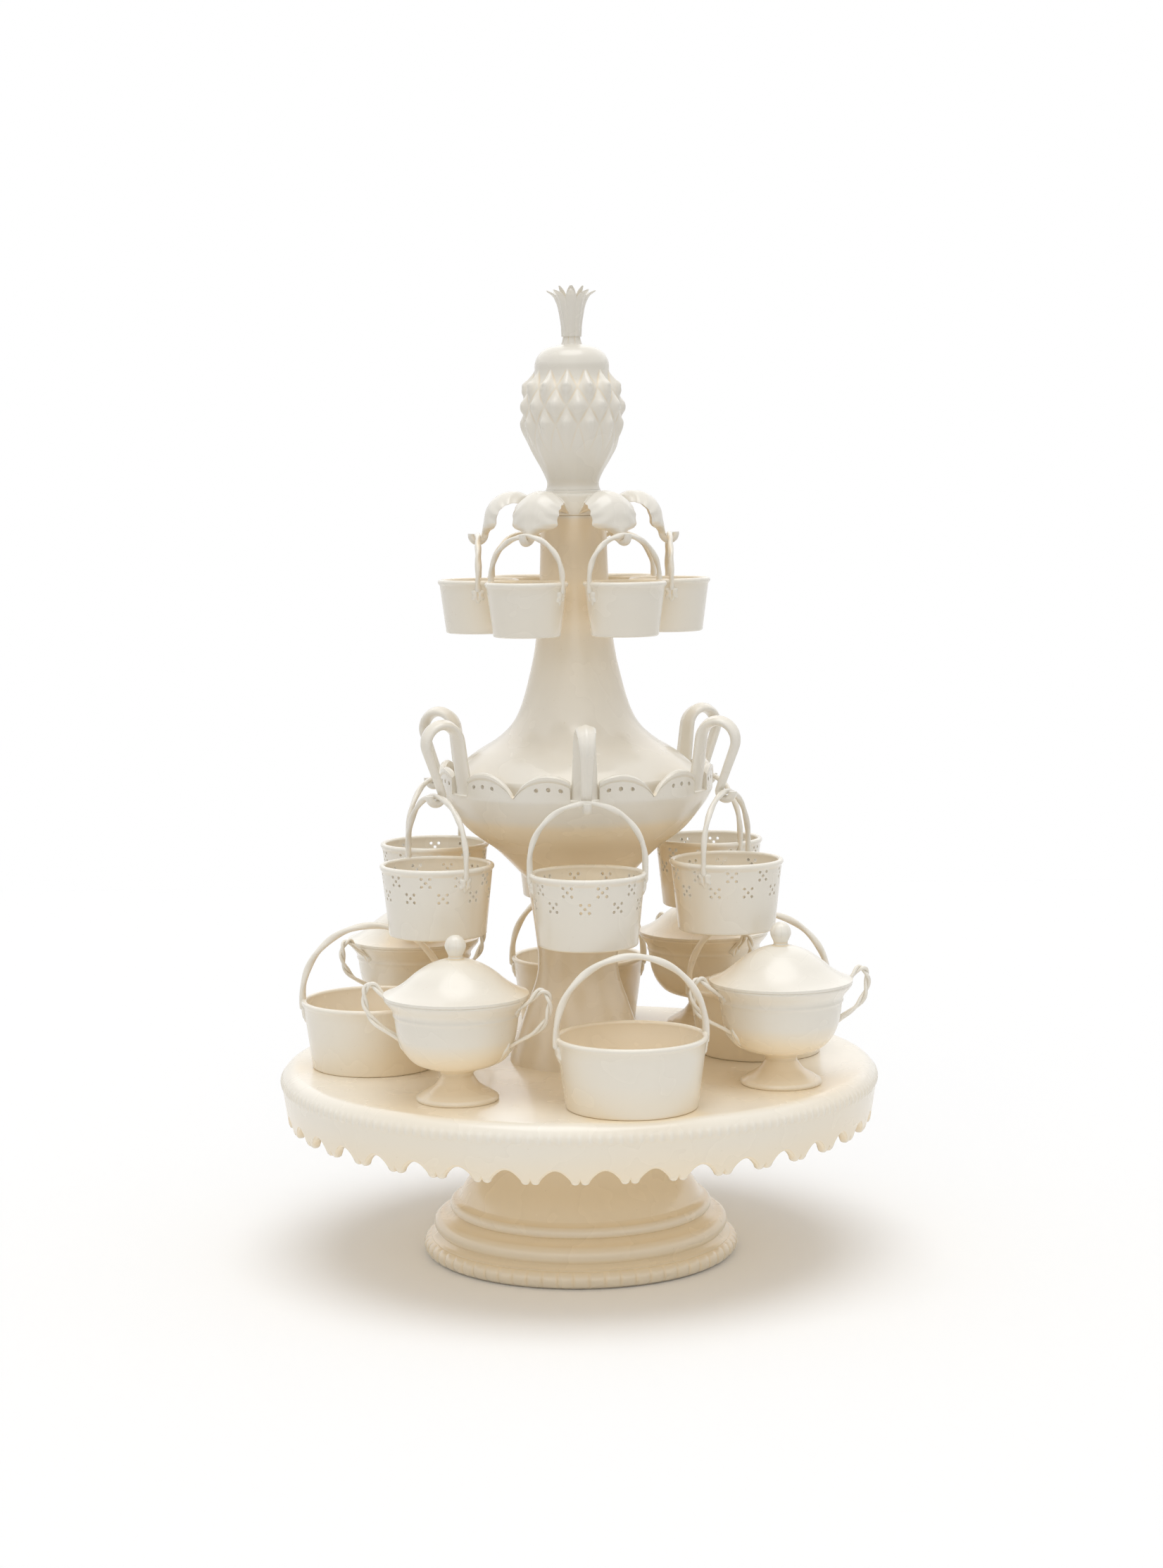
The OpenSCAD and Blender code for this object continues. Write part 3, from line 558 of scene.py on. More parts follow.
def make_piece(context, node, shell):
    """A glazed piece that stands for a node: the shell as a smooth mesh in metres, with its hollows and
    the share of light from above that it loses kept for the glaze, which paints shade by it, on the node's
    own body."""
    verts, quads, tris = shell
    mesh = bpy.data.meshes.new(node + "_glazed")
    mesh.vertices.add(len(verts))
    mesh.vertices.foreach_set("co", (verts / MM).astype(np.float32).ravel())
    around = np.concatenate([quads.ravel(), tris.ravel()]).astype(np.int32)
    sizes = np.concatenate([np.full(len(quads), 4), np.full(len(tris), 3)])
    mesh.loops.add(len(around))
    mesh.loops.foreach_set("vertex_index", around)
    mesh.polygons.add(len(sizes))
    mesh.polygons.foreach_set("loop_start", (np.cumsum(sizes) - sizes).astype(np.int32))
    mesh.polygons.foreach_set("use_smooth", np.ones(len(sizes), bool))
    mesh.update(calc_edges=True)
    if mesh.validate():
        raise RuntimeError(f"{node}: the mesh had faults")
    mesh.set_sharp_from_angle(angle=SHARP)
    # painted shade: the share of light from above that each vertex loses, kept so the glaze can darken and
    # warm it
    for name, value in (("hollow", hollows(mesh)), ("shelter", shelter(mesh))):
        mesh.attributes.new(name, "FLOAT", "POINT").data.foreach_set("value", value.astype(np.float32))
    mesh.materials.append(cream_glaze(context))
    piece = bpy.data.objects.new(mesh.name, mesh)
    context.scene.collection.objects.link(piece)
    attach(piece, BODY_OF[node])
    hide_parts(node)


def make_pieces(context, shells):
    """A glazed piece for each node that has a shell in the table."""
    for node, shell in shells.items():
        make_piece(context, node, shell)
    return {"FINISHED"}


# Glaze

GRAINS = (  # grains to the metre and detail of the glaze's drifts, specks, gloss, fine skin and waves
    (9, 2), (520, 1), (34, 2), (230, 2), (42, 1))


def feed(tree, node, **values):
    """The node with its fields and, under capital names, its inputs set to values or joined to sockets."""
    for key, value in values.items():
        if key[0].islower():
            setattr(node, key, value)
        elif isinstance(value, bpy.types.NodeSocket):
            tree.links.new(value, node.inputs[key.replace("_", " ")])
        else:
            node.inputs[key.replace("_", " ")].default_value = value
    return node


def add(tree, kind, **values):
    """A new node, fed with values."""
    return feed(tree, tree.nodes.new(kind), **values)


def blend(tree, amount, first, second):
    """Colour between two colours or sockets, by an amount from 0 to 1."""
    mix = add(tree, "ShaderNodeMix", data_type="RGBA")
    tree.links.new(amount, mix.inputs[0])
    for socket, colour in ((mix.inputs[6], first), (mix.inputs[7], second)):
        if isinstance(colour, bpy.types.NodeSocket):
            tree.links.new(colour, socket)
        else:
            socket.default_value = (*colour, 1)
    return mix.outputs[2]


def spread(tree, value, a, b, c, d):
    """The value with a to b stretched to c to d and held at the ends."""
    span = add(tree, "ShaderNodeMapRange", Value=value, From_Min=a, From_Max=b, To_Min=c, To_Max=d)
    return span.outputs["Result"]


def cream_glaze(context):
    """The glaze: slow drifts between a paler and a fuller cream, with painted shade, a warmer and darker
    tone, where less light from above reaches, gathered warm in hollows and thin on edges, with faint specks,
    uneven gloss and a fine skin."""
    made = bpy.data.materials.get("glazed_cream")
    if made:
        return made
    tones = context.scene.centrepiece.glaze
    made = bpy.data.materials.new("glazed_cream")
    made.use_nodes = True
    tree = made.node_tree
    place = add(tree, "ShaderNodeTexCoord").outputs["Object"]
    drift, specks, gloss, fine_skin, waves = (
        add(tree, "ShaderNodeTexNoise", Vector=place, Scale=scale, Detail=detail).outputs["Fac"]
        for scale, detail in GRAINS)
    hollow, shaded = (
        add(tree, "ShaderNodeAttribute", attribute_name=name).outputs["Fac"]
        for name in ("hollow", "shelter"))
    colour = tones.pale
    for value, start, full, most, over in (
            (drift, 0.3, 0.7, 1, tones.cream),
            # painted shade: warmer and darker where the pieces above keep light off
            (shaded, 0.08, 0.62, 0.78, tones.deep),
            (hollow, -0.05, -0.5, 0.75, tones.pale),
            (hollow, 0.03, 0.45, 0.85, tones.pooled),
            (specks, 0.74, 0.82, 0.22, tones.speck)):
        colour = blend(tree, spread(tree, value, start, full, 0, most), colour, over)
    fine = add(tree, "ShaderNodeBump", Height=fine_skin, Strength=0.04, Distance=0.0006)
    wavy = add(
        tree, "ShaderNodeBump", Height=waves, Normal=fine.outputs["Normal"], Strength=0.03, Distance=0.001)
    feed(
        tree, tree.nodes["Principled BSDF"], Base_Color=colour, Normal=wavy.outputs["Normal"],
        Roughness=spread(tree, gloss, 0.3, 0.7, 0.23, 0.3), IOR=1.5, Coat_Weight=tones.gloss,
        Coat_Roughness=0.1)
    return made


# Shapes of the pieces

RIB_STEPS, SCALLOP_STEPS, SCALE_STEPS = 12, 30, 22  # steps to one rib, scallop or scale
TIER_STEPS, COLLAR_STEPS, TUREEN_STEPS = 192, 128, 160  # steps round a turned piece
UPPER_STEPS, SERVER_STEPS = 144, 192  # steps round a plain basket


def foot_shell(k):
    """Pedestal foot: three rolls, a cove and its inner side carried round the axis; the lower roll's radius
    drops between its ribs as the ribs' half waves do."""
    r = k.foot_r
    cove = curve([
        [r - 23, 36], [r - 27.5, 44], [k.waist_r + 3.5, 60], [k.waist_r, 76],
        [k.waist_r + 7, k.foot_top - 16], [k.neck_r, k.foot_top]], 8)
    roll = arc(r - 5, 5.5, 5, -78, 90, 18)
    rest = np.vstack([
        rounded([[r - 5, 10.8], [r - 7, 11.6], [r - 9.4, 14]], 2, 3),
        arc(r - 12, 19, 5.2, -58, 88, 14),
        rounded([[r - 13.5, 24.6], [r - 15.5, 25.5], [r - 18, 27]], 1.5, 3),
        arc(r - 20.5, 30.5, 3.6, -58, 88, 10),
        cove, [[k.neck_r - k.foot_wall, k.foot_top]], inset(cove[:-6], k.foot_wall)[::-1],
        [[r - 24, 20], [r - 15, 8], [r - 9, 0.6], [r - 8.4, 0]]])
    line = np.vstack([[[r - 4.6, 0]], roll, rest])
    ribbed = np.sin(np.linspace(0, np.pi, len(roll)))**0.5
    weight = np.concatenate([[0], ribbed, np.zeros(len(rest))])[:, None]
    a = ring(RIB_STEPS * k.foot_ribs)[None]
    groove = 1 - np.abs(np.cos(k.foot_ribs * a / 2))**0.6
    return skin(lathe(line[:, :1] - k.rib_depth * weight * groove, line[:, 1:], a), True)


def scallop(a, k):
    """Height of the apron's edge above its lowest points: in each scallop a soft arch, a quarter wave to
    each side, fills the middle six tenths, and two small lobes hang in the rest."""
    x = np.abs((a * k.scallops / TURN) % 1 - 0.5)
    span, lobe = 0.3, 0.3 * k.scallop_rise
    lobe_mid, lobe_half = (0.5 + span) / 2, (0.5 - span) / 2
    arch = lobe + (k.scallop_rise - lobe) * np.clip(np.cos(np.pi / 2 * x / span), 0, 1)**0.9
    hang = lobe * (1 - np.sqrt(np.clip(1 - ((x - lobe_mid) / lobe_half)**2, 0, 1)))
    return np.where(x < span, arch, hang)


def platter_shell(k):
    """Platter: disc, apron, rounded edge and boss carried round the axis; the apron's rows stretch down to
    the scalloped edge, and flutes swell its upper part."""
    tip, wall_top = k.top - k.apron_h, k.top - k.edge_r
    wide, foot = k.platter_r, k.platter_r - k.apron_lean
    under = wide - k.edge_r - k.apron_t
    back_rows, face_rows, hem_r = 9, 27, 1.7
    bed = [[1, wall_top], [under - 6, wall_top]]
    back = straight([under, wall_top], [foot - k.apron_t, tip], back_rows)[:-1]
    hem = np.vstack([
        arc(foot - k.apron_t + hem_r, tip + hem_r, hem_r, 180, 270, 3),
        arc(foot - hem_r, tip + hem_r, hem_r, 270, 360, 3)])
    face = straight([foot, tip], [wide, wall_top], face_rows)[2:]
    edge = arc(wide - k.edge_r, wall_top, k.edge_r, 6, 90, 12)
    crown = rounded([
        [wide - k.edge_r - 3, k.top], [k.boss_r, k.top], [k.boss_r, k.top + k.boss_h],
        [1, k.top + k.boss_h]], 1, 3)
    line = np.vstack([bed, back, hem, face, edge, crown])
    drop = np.concatenate([
        np.zeros(len(bed)), np.linspace(0, 1, back_rows + 1)[:-1], np.ones(len(hem)),
        np.linspace(1, 0, face_rows + 1)[2:], np.zeros(len(edge) + len(crown))])
    shown = np.concatenate([
        np.zeros(len(bed) + len(back) + len(hem)), np.ones(len(face) + len(edge)), np.zeros(len(crown))])
    a = ring(SCALLOP_STEPS * k.scallops)[None]
    lift = drop[:, None] * scallop(a, k)
    band = shown * np.sqrt(np.clip(1 - ((line[:, 1] - wall_top - 0.6) / 3.6)**2, 0, 1))
    flute = np.clip(np.cos(k.scallops * k.flutes * a), 0, 1)**0.5
    r = line[:, :1] + lift * k.apron_lean / (k.apron_h - k.edge_r) + k.flute_out * band[:, None] * flute
    return skin(lathe(r, line[:, 1:] + lift, a))


def stem_shell(k, s):
    """Stem: its side, a level top, the inner side and the seat for the boss carried round the axis."""
    h = k.bowl_z - s.top
    side = curve([
        [k.stem_foot_r, 0], [k.stem_foot_r - 2, 8], [k.stem_waist_r + 6.5, 0.31 * h],
        [k.stem_waist_r, 0.5 * h], [k.stem_waist_r + 1.5, 0.72 * h], [k.stem_top_r, h]], 10)
    seat = s.boss_r + PLAY
    line = np.vstack([
        side, [[k.stem_top_r - k.stem_wall, h]], inset(side[12:-1], k.stem_wall)[::-1],
        [[seat, s.boss_h + 2], [seat, 0]]])
    return skin(turned(line + [0, s.top], TIER_STEPS), True)


def ridge_r(k):
    """Radius of the ridge on the bowl's shelf that centres the column."""
    return k.skirt_r - 8


def gallery_lobes(k):
    """Bearings of the gallery's columns from one arm to the next, and its rise at each: two arcs of a
    circle, cut off at the arms' roots, where next to nothing is left."""
    columns, rooted, between, least = 75, 8, 360 / HOOKS, 0.05
    root, step = np.degrees((k.arm_w / 2 + 0.4) / k.bowl_r), 0.03
    place = np.interp(
        np.arange(columns),
        [0, rooted, rooted + 1, columns / 2, columns - rooted - 1, columns - rooted, columns],
        [0, root - step, root + step, between / 2, between - root - step, between - root + step, between])
    off, chord = (k.bowl_r * np.radians(d) for d in (place % (between / 2) - between / 4, between / 4))
    bow = (chord**2 + k.lobe_rise**2) / (2 * k.lobe_rise)
    rise = np.maximum(k.lobe_rise - bow + np.sqrt(bow**2 - off**2), least)
    rise[:rooted + 1] = rise[columns - rooted:] = least
    return np.radians(place), rise


def bowl_shell(k):
    """Bowl with its shelf and gallery: the side, the gallery's two faces and the shelf carried round the
    axis. The gallery's rows are lifted by its lobes; each lobe has a raised border with a groove inside it
    and a row of round holes below."""
    h, wide, ridge = k.shelf_z - k.bowl_z, k.bowl_r, ridge_r(k)
    side = curve([
        [k.stem_top_r, 0], [k.stem_top_r + 5, 5], [wide - 35, 0.33 * h], [wide - 18, 0.55 * h],
        [wide - 6, 0.8 * h], [wide - 1.6, 0.92 * h], [wide - 0.1, h - 1.5]], 6)
    hole_row, lowest, highest = 2, 0.36, 0.6
    t = np.concatenate([
        np.linspace(0, lowest, 3 * hole_row + 1)[:-1], np.linspace(lowest, highest, 4)[:-1],
        np.linspace(highest, 1, 16)])
    border = 0.55 * np.clip((t - 0.83) / 0.05, 0, 1) - 0.5 * np.exp(-((t - 0.79) / 0.035)**2)
    face = np.stack([wide + border, np.full(len(t), h)], 1)
    lip = arc(wide - k.lobe_t / 2, h, k.lobe_t / 2, 20, 160, 5) - [0, 0.6]
    back = np.stack([np.full(len(t), wide - k.lobe_t), np.full(len(t), h)], 1)
    inner = inset(side, k.stem_wall)
    inner = inner[(inner[:, 1] < h - 4.5) & (inner[:, 1] > 6)][::-1]
    shelf = np.vstack([
        [[wide - k.lobe_t - 1, h], [ridge, h], [ridge, h + 4], [ridge - 4, h + 4], [ridge - 4, h - 4],
         [inner[0, 0] - 0.5, h - 4]], inner, [[1, 5]]])
    line = np.vstack([[[1, 0]], side, face, lip, back, shelf])
    raised = np.concatenate([
        np.zeros(1 + len(side)), t, np.ones(len(lip)), t[::-1], np.zeros(len(shelf))])
    bearing, rise = gallery_lobes(k)
    a = (bearing + ring(HOOKS)[:, None]).ravel() + from_front(k.arm_phase)
    grid = lathe(line[:, :1], line[:, 1:] + raised[:, None] * np.tile(rise, HOOKS), a[None])
    grid[..., 2] += k.bowl_z
    cell = (len(rise) // 3 * np.arange(HOOKS)[:, None] + [4, 6, 8, 16, 18, 20]).ravel()
    cells = np.stack([cell, np.full(len(cell), hole_row)], 1)
    start = 1 + len(side)
    across, up = np.radians(0.85) * wide, (highest - lowest) / 3 * k.lobe_rise
    hole = k.pierce_r / across, k.pierce_r / up
    return pierced(grid, start, start + len(t) + len(lip), len(t) // 3, cells, hole)


def arm_shell(k):
    """Arm: a strap that leaves the shelf, bows over and ends in a hook, broad at its root and narrow at the
    hook, with a rib along its outer face."""
    up, w = k.shelf_z + k.hook_up, k.arm_w
    root = k.bowl_r - 0.5 - k.arm_t / 2
    hook_r, tip, thin = 4.6, 365, 4.8
    path = curve(hooked(
        [[root, k.shelf_z], [root, k.shelf_z + 3]], [k.ring_r - 5, up + k.bow_up], k.bow_r,
        [k.ring_r, up], hook_r, tip, 11), 5)
    t = np.linspace(0, 1, len(path))
    wide = stations(t, [[0, w], [0.14, 0.8 * w], [0.34, 12], [0.56, 7.5], [0.66, 5.6], [1, 5]], 4)
    thick = stations(t, [[0, k.arm_t], [0.45, k.arm_t], [0.6, thin], [1, thin]], 4)
    fade = stations(t, [[0, 0], [0.1, 1], [0.55, 1], [0.7, 0], [1, 0]], 3)[:, None]
    a = ring(32)[None]
    across = np.abs(np.sin(a))
    rib = np.exp(-(across / 0.22)**2) - 0.5 * np.exp(-((across - 0.45) / 0.2)**2)
    return skin(strap(path, wide, thick, 0.5 * fade * rib * (np.cos(a) > 0)))


def column_shell(k, peg_r):
    """Trumpet column: skirt, flared side, spigot, bore and inner side carried round the axis."""
    h, skirt, lip = k.column_top - k.shelf_z, k.skirt_h - 3, k.skirt_r + 7
    ledge, bore, seat = h - k.spigot_h, peg_r + PLAY, ridge_r(k) + PLAY
    side = curve([
        [lip, skirt], [lip - 3.6, skirt + 4.4], [lip - 9, skirt + 9.5], [lip - 16, skirt + 14.6],
        [lip - 27, skirt + 21.4], [lip - 36, skirt + 29.6], [lip - 42, skirt + 40],
        [k.neck_r + 9, 0.36 * h], [k.neck_r + 3.8, 0.5 * h], [k.neck_r + 1, 0.72 * h],
        [k.neck_r, ledge]], 7)
    hem = rounded([[lip - 3, 0], [lip - 0.4, 0], [lip, skirt - 3]], 1, 3)
    spigot = rounded([
        [k.spigot_r + 1, ledge], [k.spigot_r, ledge], [k.spigot_r, h], [bore, h], [bore, ledge]], 0.8, 2)
    line = np.vstack([
        [[seat, 0]], hem, side, spigot, inset(side[16:-4], k.stem_wall)[::-1], [[seat, 6]]])
    return skin(turned(line + [0, k.shelf_z], TIER_STEPS), True)


def canopy_shell(k):
    """Canopy: a collar round the spigot and six leaves. Each leaf is a strap over its shoulder into a hook;
    its width swells and narrows in lobes, its edges droop, and side veins rise towards its middle groove."""
    ledge, inside, out = k.column_top - k.spigot_h, k.spigot_r + 0.15, k.spigot_r + 3.5
    collar = rounded([
        [inside, ledge], [k.neck_r, ledge], [out, ledge + 5], [out, ledge + 12.5], [out - 1, ledge + 14],
        [inside, ledge + 14]], 1, 3)
    up, w = k.column_top - k.leaf_drop, k.leaf_w
    hook_r, tip, lobes = 4.2, 372, 11
    path = curve(hooked(
        [[k.spigot_r + 1.75, ledge + 4.5]], [k.leaf_ring_r - k.leaf_in, up + k.leaf_up], k.leaf_bow_r,
        [k.leaf_ring_r, up], hook_r, tip, 9), 7)
    t = np.linspace(0, 1, len(path))
    wide = stations(t, [
        [0, 18], [0.1, 21], [0.2, 0.86 * w], [0.3, 0.98 * w], [0.45, w], [0.545, 0.98 * w],
        [0.56, 0.86 * w], [0.572, 0.8 * w], [0.578, 0.52 * w], [0.592, 0.44 * w], [0.6, 9.5],
        [0.66, 6.4], [0.74, 5.4], [1, 4.6]], 1)
    blade = stations(t, [[0, 0], [0.12, 1], [0.56, 1], [0.62, 0], [1, 0]], 2)
    wide = wide * (1 + 0.02 * blade * np.cos(TURN * lobes * t))
    thick = stations(t, [
        [0, k.leaf_t], [0.3, 0.8 * k.leaf_t], [0.5, 0.75 * k.leaf_t], [0.62, 4.2], [1, 4.2]], 3)
    a = ring(48)[None]
    s = np.abs(np.sin(a))
    veins = 0.5 * np.cos(TURN * (lobes * t[:, None] - 1.1 * s)) * s * (1 - s**2)
    groove = 0.6 * np.exp(-(s / 0.1)**2)
    droop = 0.2 * wide[:, None] * s**2 * stations(t, [[0, 1], [0.66, 1], [0.78, 0], [1, 0]])[:, None]
    relief = blade[:, None] * (veins - groove) * (np.cos(a) > 0) - droop
    leaf = skin(strap(path, wide, thick, relief))
    return joined([skin(turned(collar, COLLAR_STEPS), True)] + [
        moved(leaf, from_front(k.leaf_phase) + turn) for turn in ring(HOOKS)])


def pineapple_shell(k):
    """Pineapple: peg and side carried round the axis. The size of a wave that runs up the side, less one
    that runs round it, makes rows of lozenge scales, each row set half a scale on, with a boss at their
    middles; they stretch and flatten towards the base, and the points of the top row stand clear of a
    smooth cap."""
    r, h, neck = k.pine_r, k.crown_z - k.base_z, 17
    ground = curve([
        [neck, 0], [neck - 0.5, 6], [r - 9.8, 20], [r - 5, 30.5], [r - 3.5, 42], [r - 3.2, 54],
        [r - 5.6, 62], [r - 8.6, 68], [r - 9.7, 73], [r - 10, 0.875 * h], [r - 12.2, 0.93 * h],
        [r - 17, h - 2.2], [8.4, h]], 16)
    foot = rounded([[1, -k.peg_h], [k.peg_r, -k.peg_h], [k.peg_r, 0], [neck, 0]], 0.8, 3)[:-1]
    a = ring(SCALE_STEPS * k.scales)[None]
    z = ground[:, 1:]
    top_row, stretch = 3, 1.8
    v = np.minimum((z - k.scale_z) / k.scale_h, top_row)
    v = np.where(v < 0, v / stretch, v)
    wave = 0.5 * (np.cos(np.pi * v) - np.cos(k.scales * a))
    depth = np.where(v > top_row - 1, np.clip(wave, 0, 1), np.abs(wave))
    scale = 0.58 * depth**0.8 + 0.42 * np.exp(-((1 - depth) / 0.3)**2)
    on = stations(z[:, 0], [
        [0, 0], [8, 0], [20, 0.25], [33, 0.65], [40, 1], [58, 1], [63, 1.25], [67, 2.2], [70, 3],
        [74, 3.4], [h, 3.4]], 2)
    out = ground[:, :1] + k.scale_out * on[:, None] * scale
    grid = np.concatenate([lathe(foot[:, :1], foot[:, 1:], a), lathe(out, z, a)])
    grid[..., 2] += k.base_z
    return skin(grid)


def crown_shell(k):
    """Crown: a fluted neck and two rings of pointed leaves. Each leaf is a strap that climbs the neck,
    bends out and narrows to its tip, folded along its middle."""
    top, tip = k.crown_h, k.crown_r
    flutes, outer_leaves, inner_leaves = 8, 8, 6
    a = ring(12 * flutes)[None]
    neck = curve([[6.8, 0], [5.8, 2.5], [5, 8], [5.3, 15], [6.8, 21], [8.2, 24.5]], 8)
    cup = np.vstack([neck, [[6.8, 25], [3.6, 21], [1, 19.5]]])
    fluted = (np.arange(len(cup)) < len(neck))[:, None]
    groove = 0.55 * (1 - np.abs(np.cos(flutes / 2 * a))**0.7)
    trunk = skin(lathe(cup[:, :1] - fluted * groove, cup[:, 1:], a))

    def leaf(points, widths, thick):
        """A folded leaf along the points, with widths and a thickness that change on the way."""
        path = curve(points, 7)
        t = np.linspace(0, 1, len(path))
        wide = stations(t, widths, 2)
        fold = 0.16 * wide[:, None] * np.abs(np.sin(ring(20)))[None]
        return skin(strap(path, wide, thick * stations(t, [[0, 1], [0.7, 0.85], [1, 0.35]]), fold))

    outer = leaf(
        [[5.3, 5], [5.7, 12], [6.8, 19], [8.2, 25], [10.8, 30], [tip - 1.6, top - 3.4]],
        [[0, 4.4], [0.4, 6.2], [0.7, 7.4], [0.84, 5.6], [0.94, 2.6], [1, 0.8]], 1.9)
    inner = leaf(
        [[4.2, 17], [5, 25], [6.6, 31], [8.6, top - 0.5]],
        [[0, 4.4], [0.4, 6.6], [0.7, 6], [0.9, 3], [1, 0.8]], 1.7)
    crown = joined([trunk] + [moved(outer, turn) for turn in ring(outer_leaves)] + [
        moved(inner, turn + np.pi / inner_leaves) for turn in ring(inner_leaves)])
    return moved(crown, 0, (0, 0, k.crown_z))


def basket_lines(base, rim, h, k):
    """Parts of a basket's profile: base, outer side, rolled rim, inner side and floor."""
    foot = np.vstack([
        [[1, 1], [base - 8, 1], [base - 6.6, 0.5], [base - 5.6, 0], [base - 2, 0]],
        arc(base - 1.5, 1.5, 1.5, -80, -12, 4)])
    outer = straight([base, 2.2], [rim - 1.2, h - 2 * k.bead - 0.4], 6)
    roll = arc(rim - k.bead, h - k.bead, k.bead, -48, 192, 18)
    inner = straight([rim - 2 * k.bead + 0.05, h - 2 * k.bead], [base - k.wall, k.floor + 2.6], 6)
    bed = np.vstack([
        arc(base - k.wall - 2, k.floor + 2, 2, -8, -90, 4), [[base - 12, k.floor], [1, k.floor]]])
    return foot, outer, roll, inner, bed


def basket_shell(base, rim, h, k, n):
    """Plain basket: its profile carried round the axis in n steps."""
    return skin(turned(np.vstack(basket_lines(base, rim, h, k)), n))


def pierced_basket_shell(base, rim, h, k):
    """Basket whose wall is cut under the rim by a zigzag of clusters of five holes: each cluster is a hole
    with four more at its corners, high and low by turns."""
    foot, outer, roll, inner, bed = basket_lines(base, rim, h, k)
    pitch, rows = 8, 7
    columns = pitch * k.zigzags
    step, rise = TURN * (rim - 3) / columns / 3, k.hole_rise / 3
    levels = h - 2 * k.bead - 0.6 - rise * np.arange(3 * rows, -1, -1)

    def on(line, z):
        """Points of a rising line at the heights z."""
        return np.stack([np.interp(z, line[:, 1], line[:, 0]), z], 1)

    lower = on(outer, np.linspace(outer[0, 1], levels[0], 5)[:-1])
    back = on(inner[::-1], levels[::-1])
    below = on(inner[::-1], np.linspace(levels[0], inner[-1, 1], 4)[1:])
    line = np.vstack([foot, lower, on(outer, levels), roll, back, below, bed])
    cluster = np.array([(0, 0), (1, 1), (1, -1), (-1, 1), (-1, -1)])
    middles = np.array([(2, 5), (6, 1)])[:, None] + [pitch, 0] * np.arange(k.zigzags)[:, None, None, None]
    start = len(foot) + len(lower)
    return pierced(
        turned(line, 3 * columns), start, start + len(levels) + len(roll), rows,
        (middles + cluster).reshape(-1, 2), (k.hole_r / step, k.hole_r / rise))


def handle_shell(base, rim, h, arch, rod):
    """Arched handle: an arch on two upright legs in the plane across the basket, its rod lightly reeded by
    a slow twist, with a leaf on the wall at each end."""
    a = rim - 0.6
    spring = h + arch - rod / 2 - a
    leg = straight([a, h - 7], [a, spring], 8)
    line = np.vstack([leg[:-1], arc(0, spring, a, 0, 180, 96), (leg * [-1, 1])[::-1][1:]])
    path = np.column_stack([np.zeros(len(line)), line])
    radius = np.full(len(path), rod / 2)
    radius[[0, -1]] *= 0.6
    side = np.array([[base, 2.2], [rim - 1.2, h - 4], [rim - 1.2, h]])
    return joined([skin(tube(path, radius, 20, twist=0.19, flat=0.2))] + [
        skin(leaf_pad(side, h - 9, s * np.pi / 2, 2.6 * rod, 2.2 * rod, 0.45 * rod)) for s in (-1, 1)])


def cup_side(k):
    """Outside of a tureen's cup from its waist to its rim."""
    r, h, w = k.tureen_r, k.tureen_h, k.tureen_waist_r
    return curve([
        [w, 16], [w + 2.8, 18.4], [0.57 * r, 0.365 * h], [0.715 * r, 0.465 * h], [0.795 * r, 0.58 * h],
        [0.83 * r, 0.69 * h], [0.852 * r, 0.8 * h], [r - 5.2, 0.88 * h], [r - 2, 0.945 * h],
        [r - 0.4, h - 1.2]], 8)


def mouth_r(k):
    """Radius of a tureen's mouth, which the cover's flange goes into."""
    return k.tureen_r - 5


def cup_shell(k):
    """Tureen: foot, waist, cup, rim and inside carried round the axis, with a raised line under the rim."""
    r, h, foot, w = k.tureen_r, k.tureen_h, k.tureen_foot_r, k.tureen_waist_r
    mouth, bottom = mouth_r(k), 0.4 * h - k.tureen_wall
    side = cup_side(k)
    inner = inset(side, k.tureen_wall)
    inner = inner[(inner[:, 1] > 24) & (inner[:, 1] < h - 4)][::-1]
    side[:, 0] += 0.55 * np.exp(-((side[:, 1] - 0.83 * h) / 0.9)**2)
    line = np.vstack([
        [[1, 2.5], [foot - 7.4, 2.5], [foot - 6, 1.4], [foot - 5, 0]],
        rounded([[foot - 4, 0], [foot - 0.6, 0], [foot, 1.4], [foot - 0.8, 3], [foot - 3, 4.2]], 0.8, 3),
        curve([[foot - 4, 5], [w + 4, 9.5], [w, 15]], 8), side,
        rounded([[r - 0.4, h - 1], [r - 0.4, h], [mouth, h], [mouth, h - 2]], 0.6, 3),
        inner, [[12, bottom + 0.6], [1, bottom]]])
    return skin(turned(line, TUREEN_STEPS))


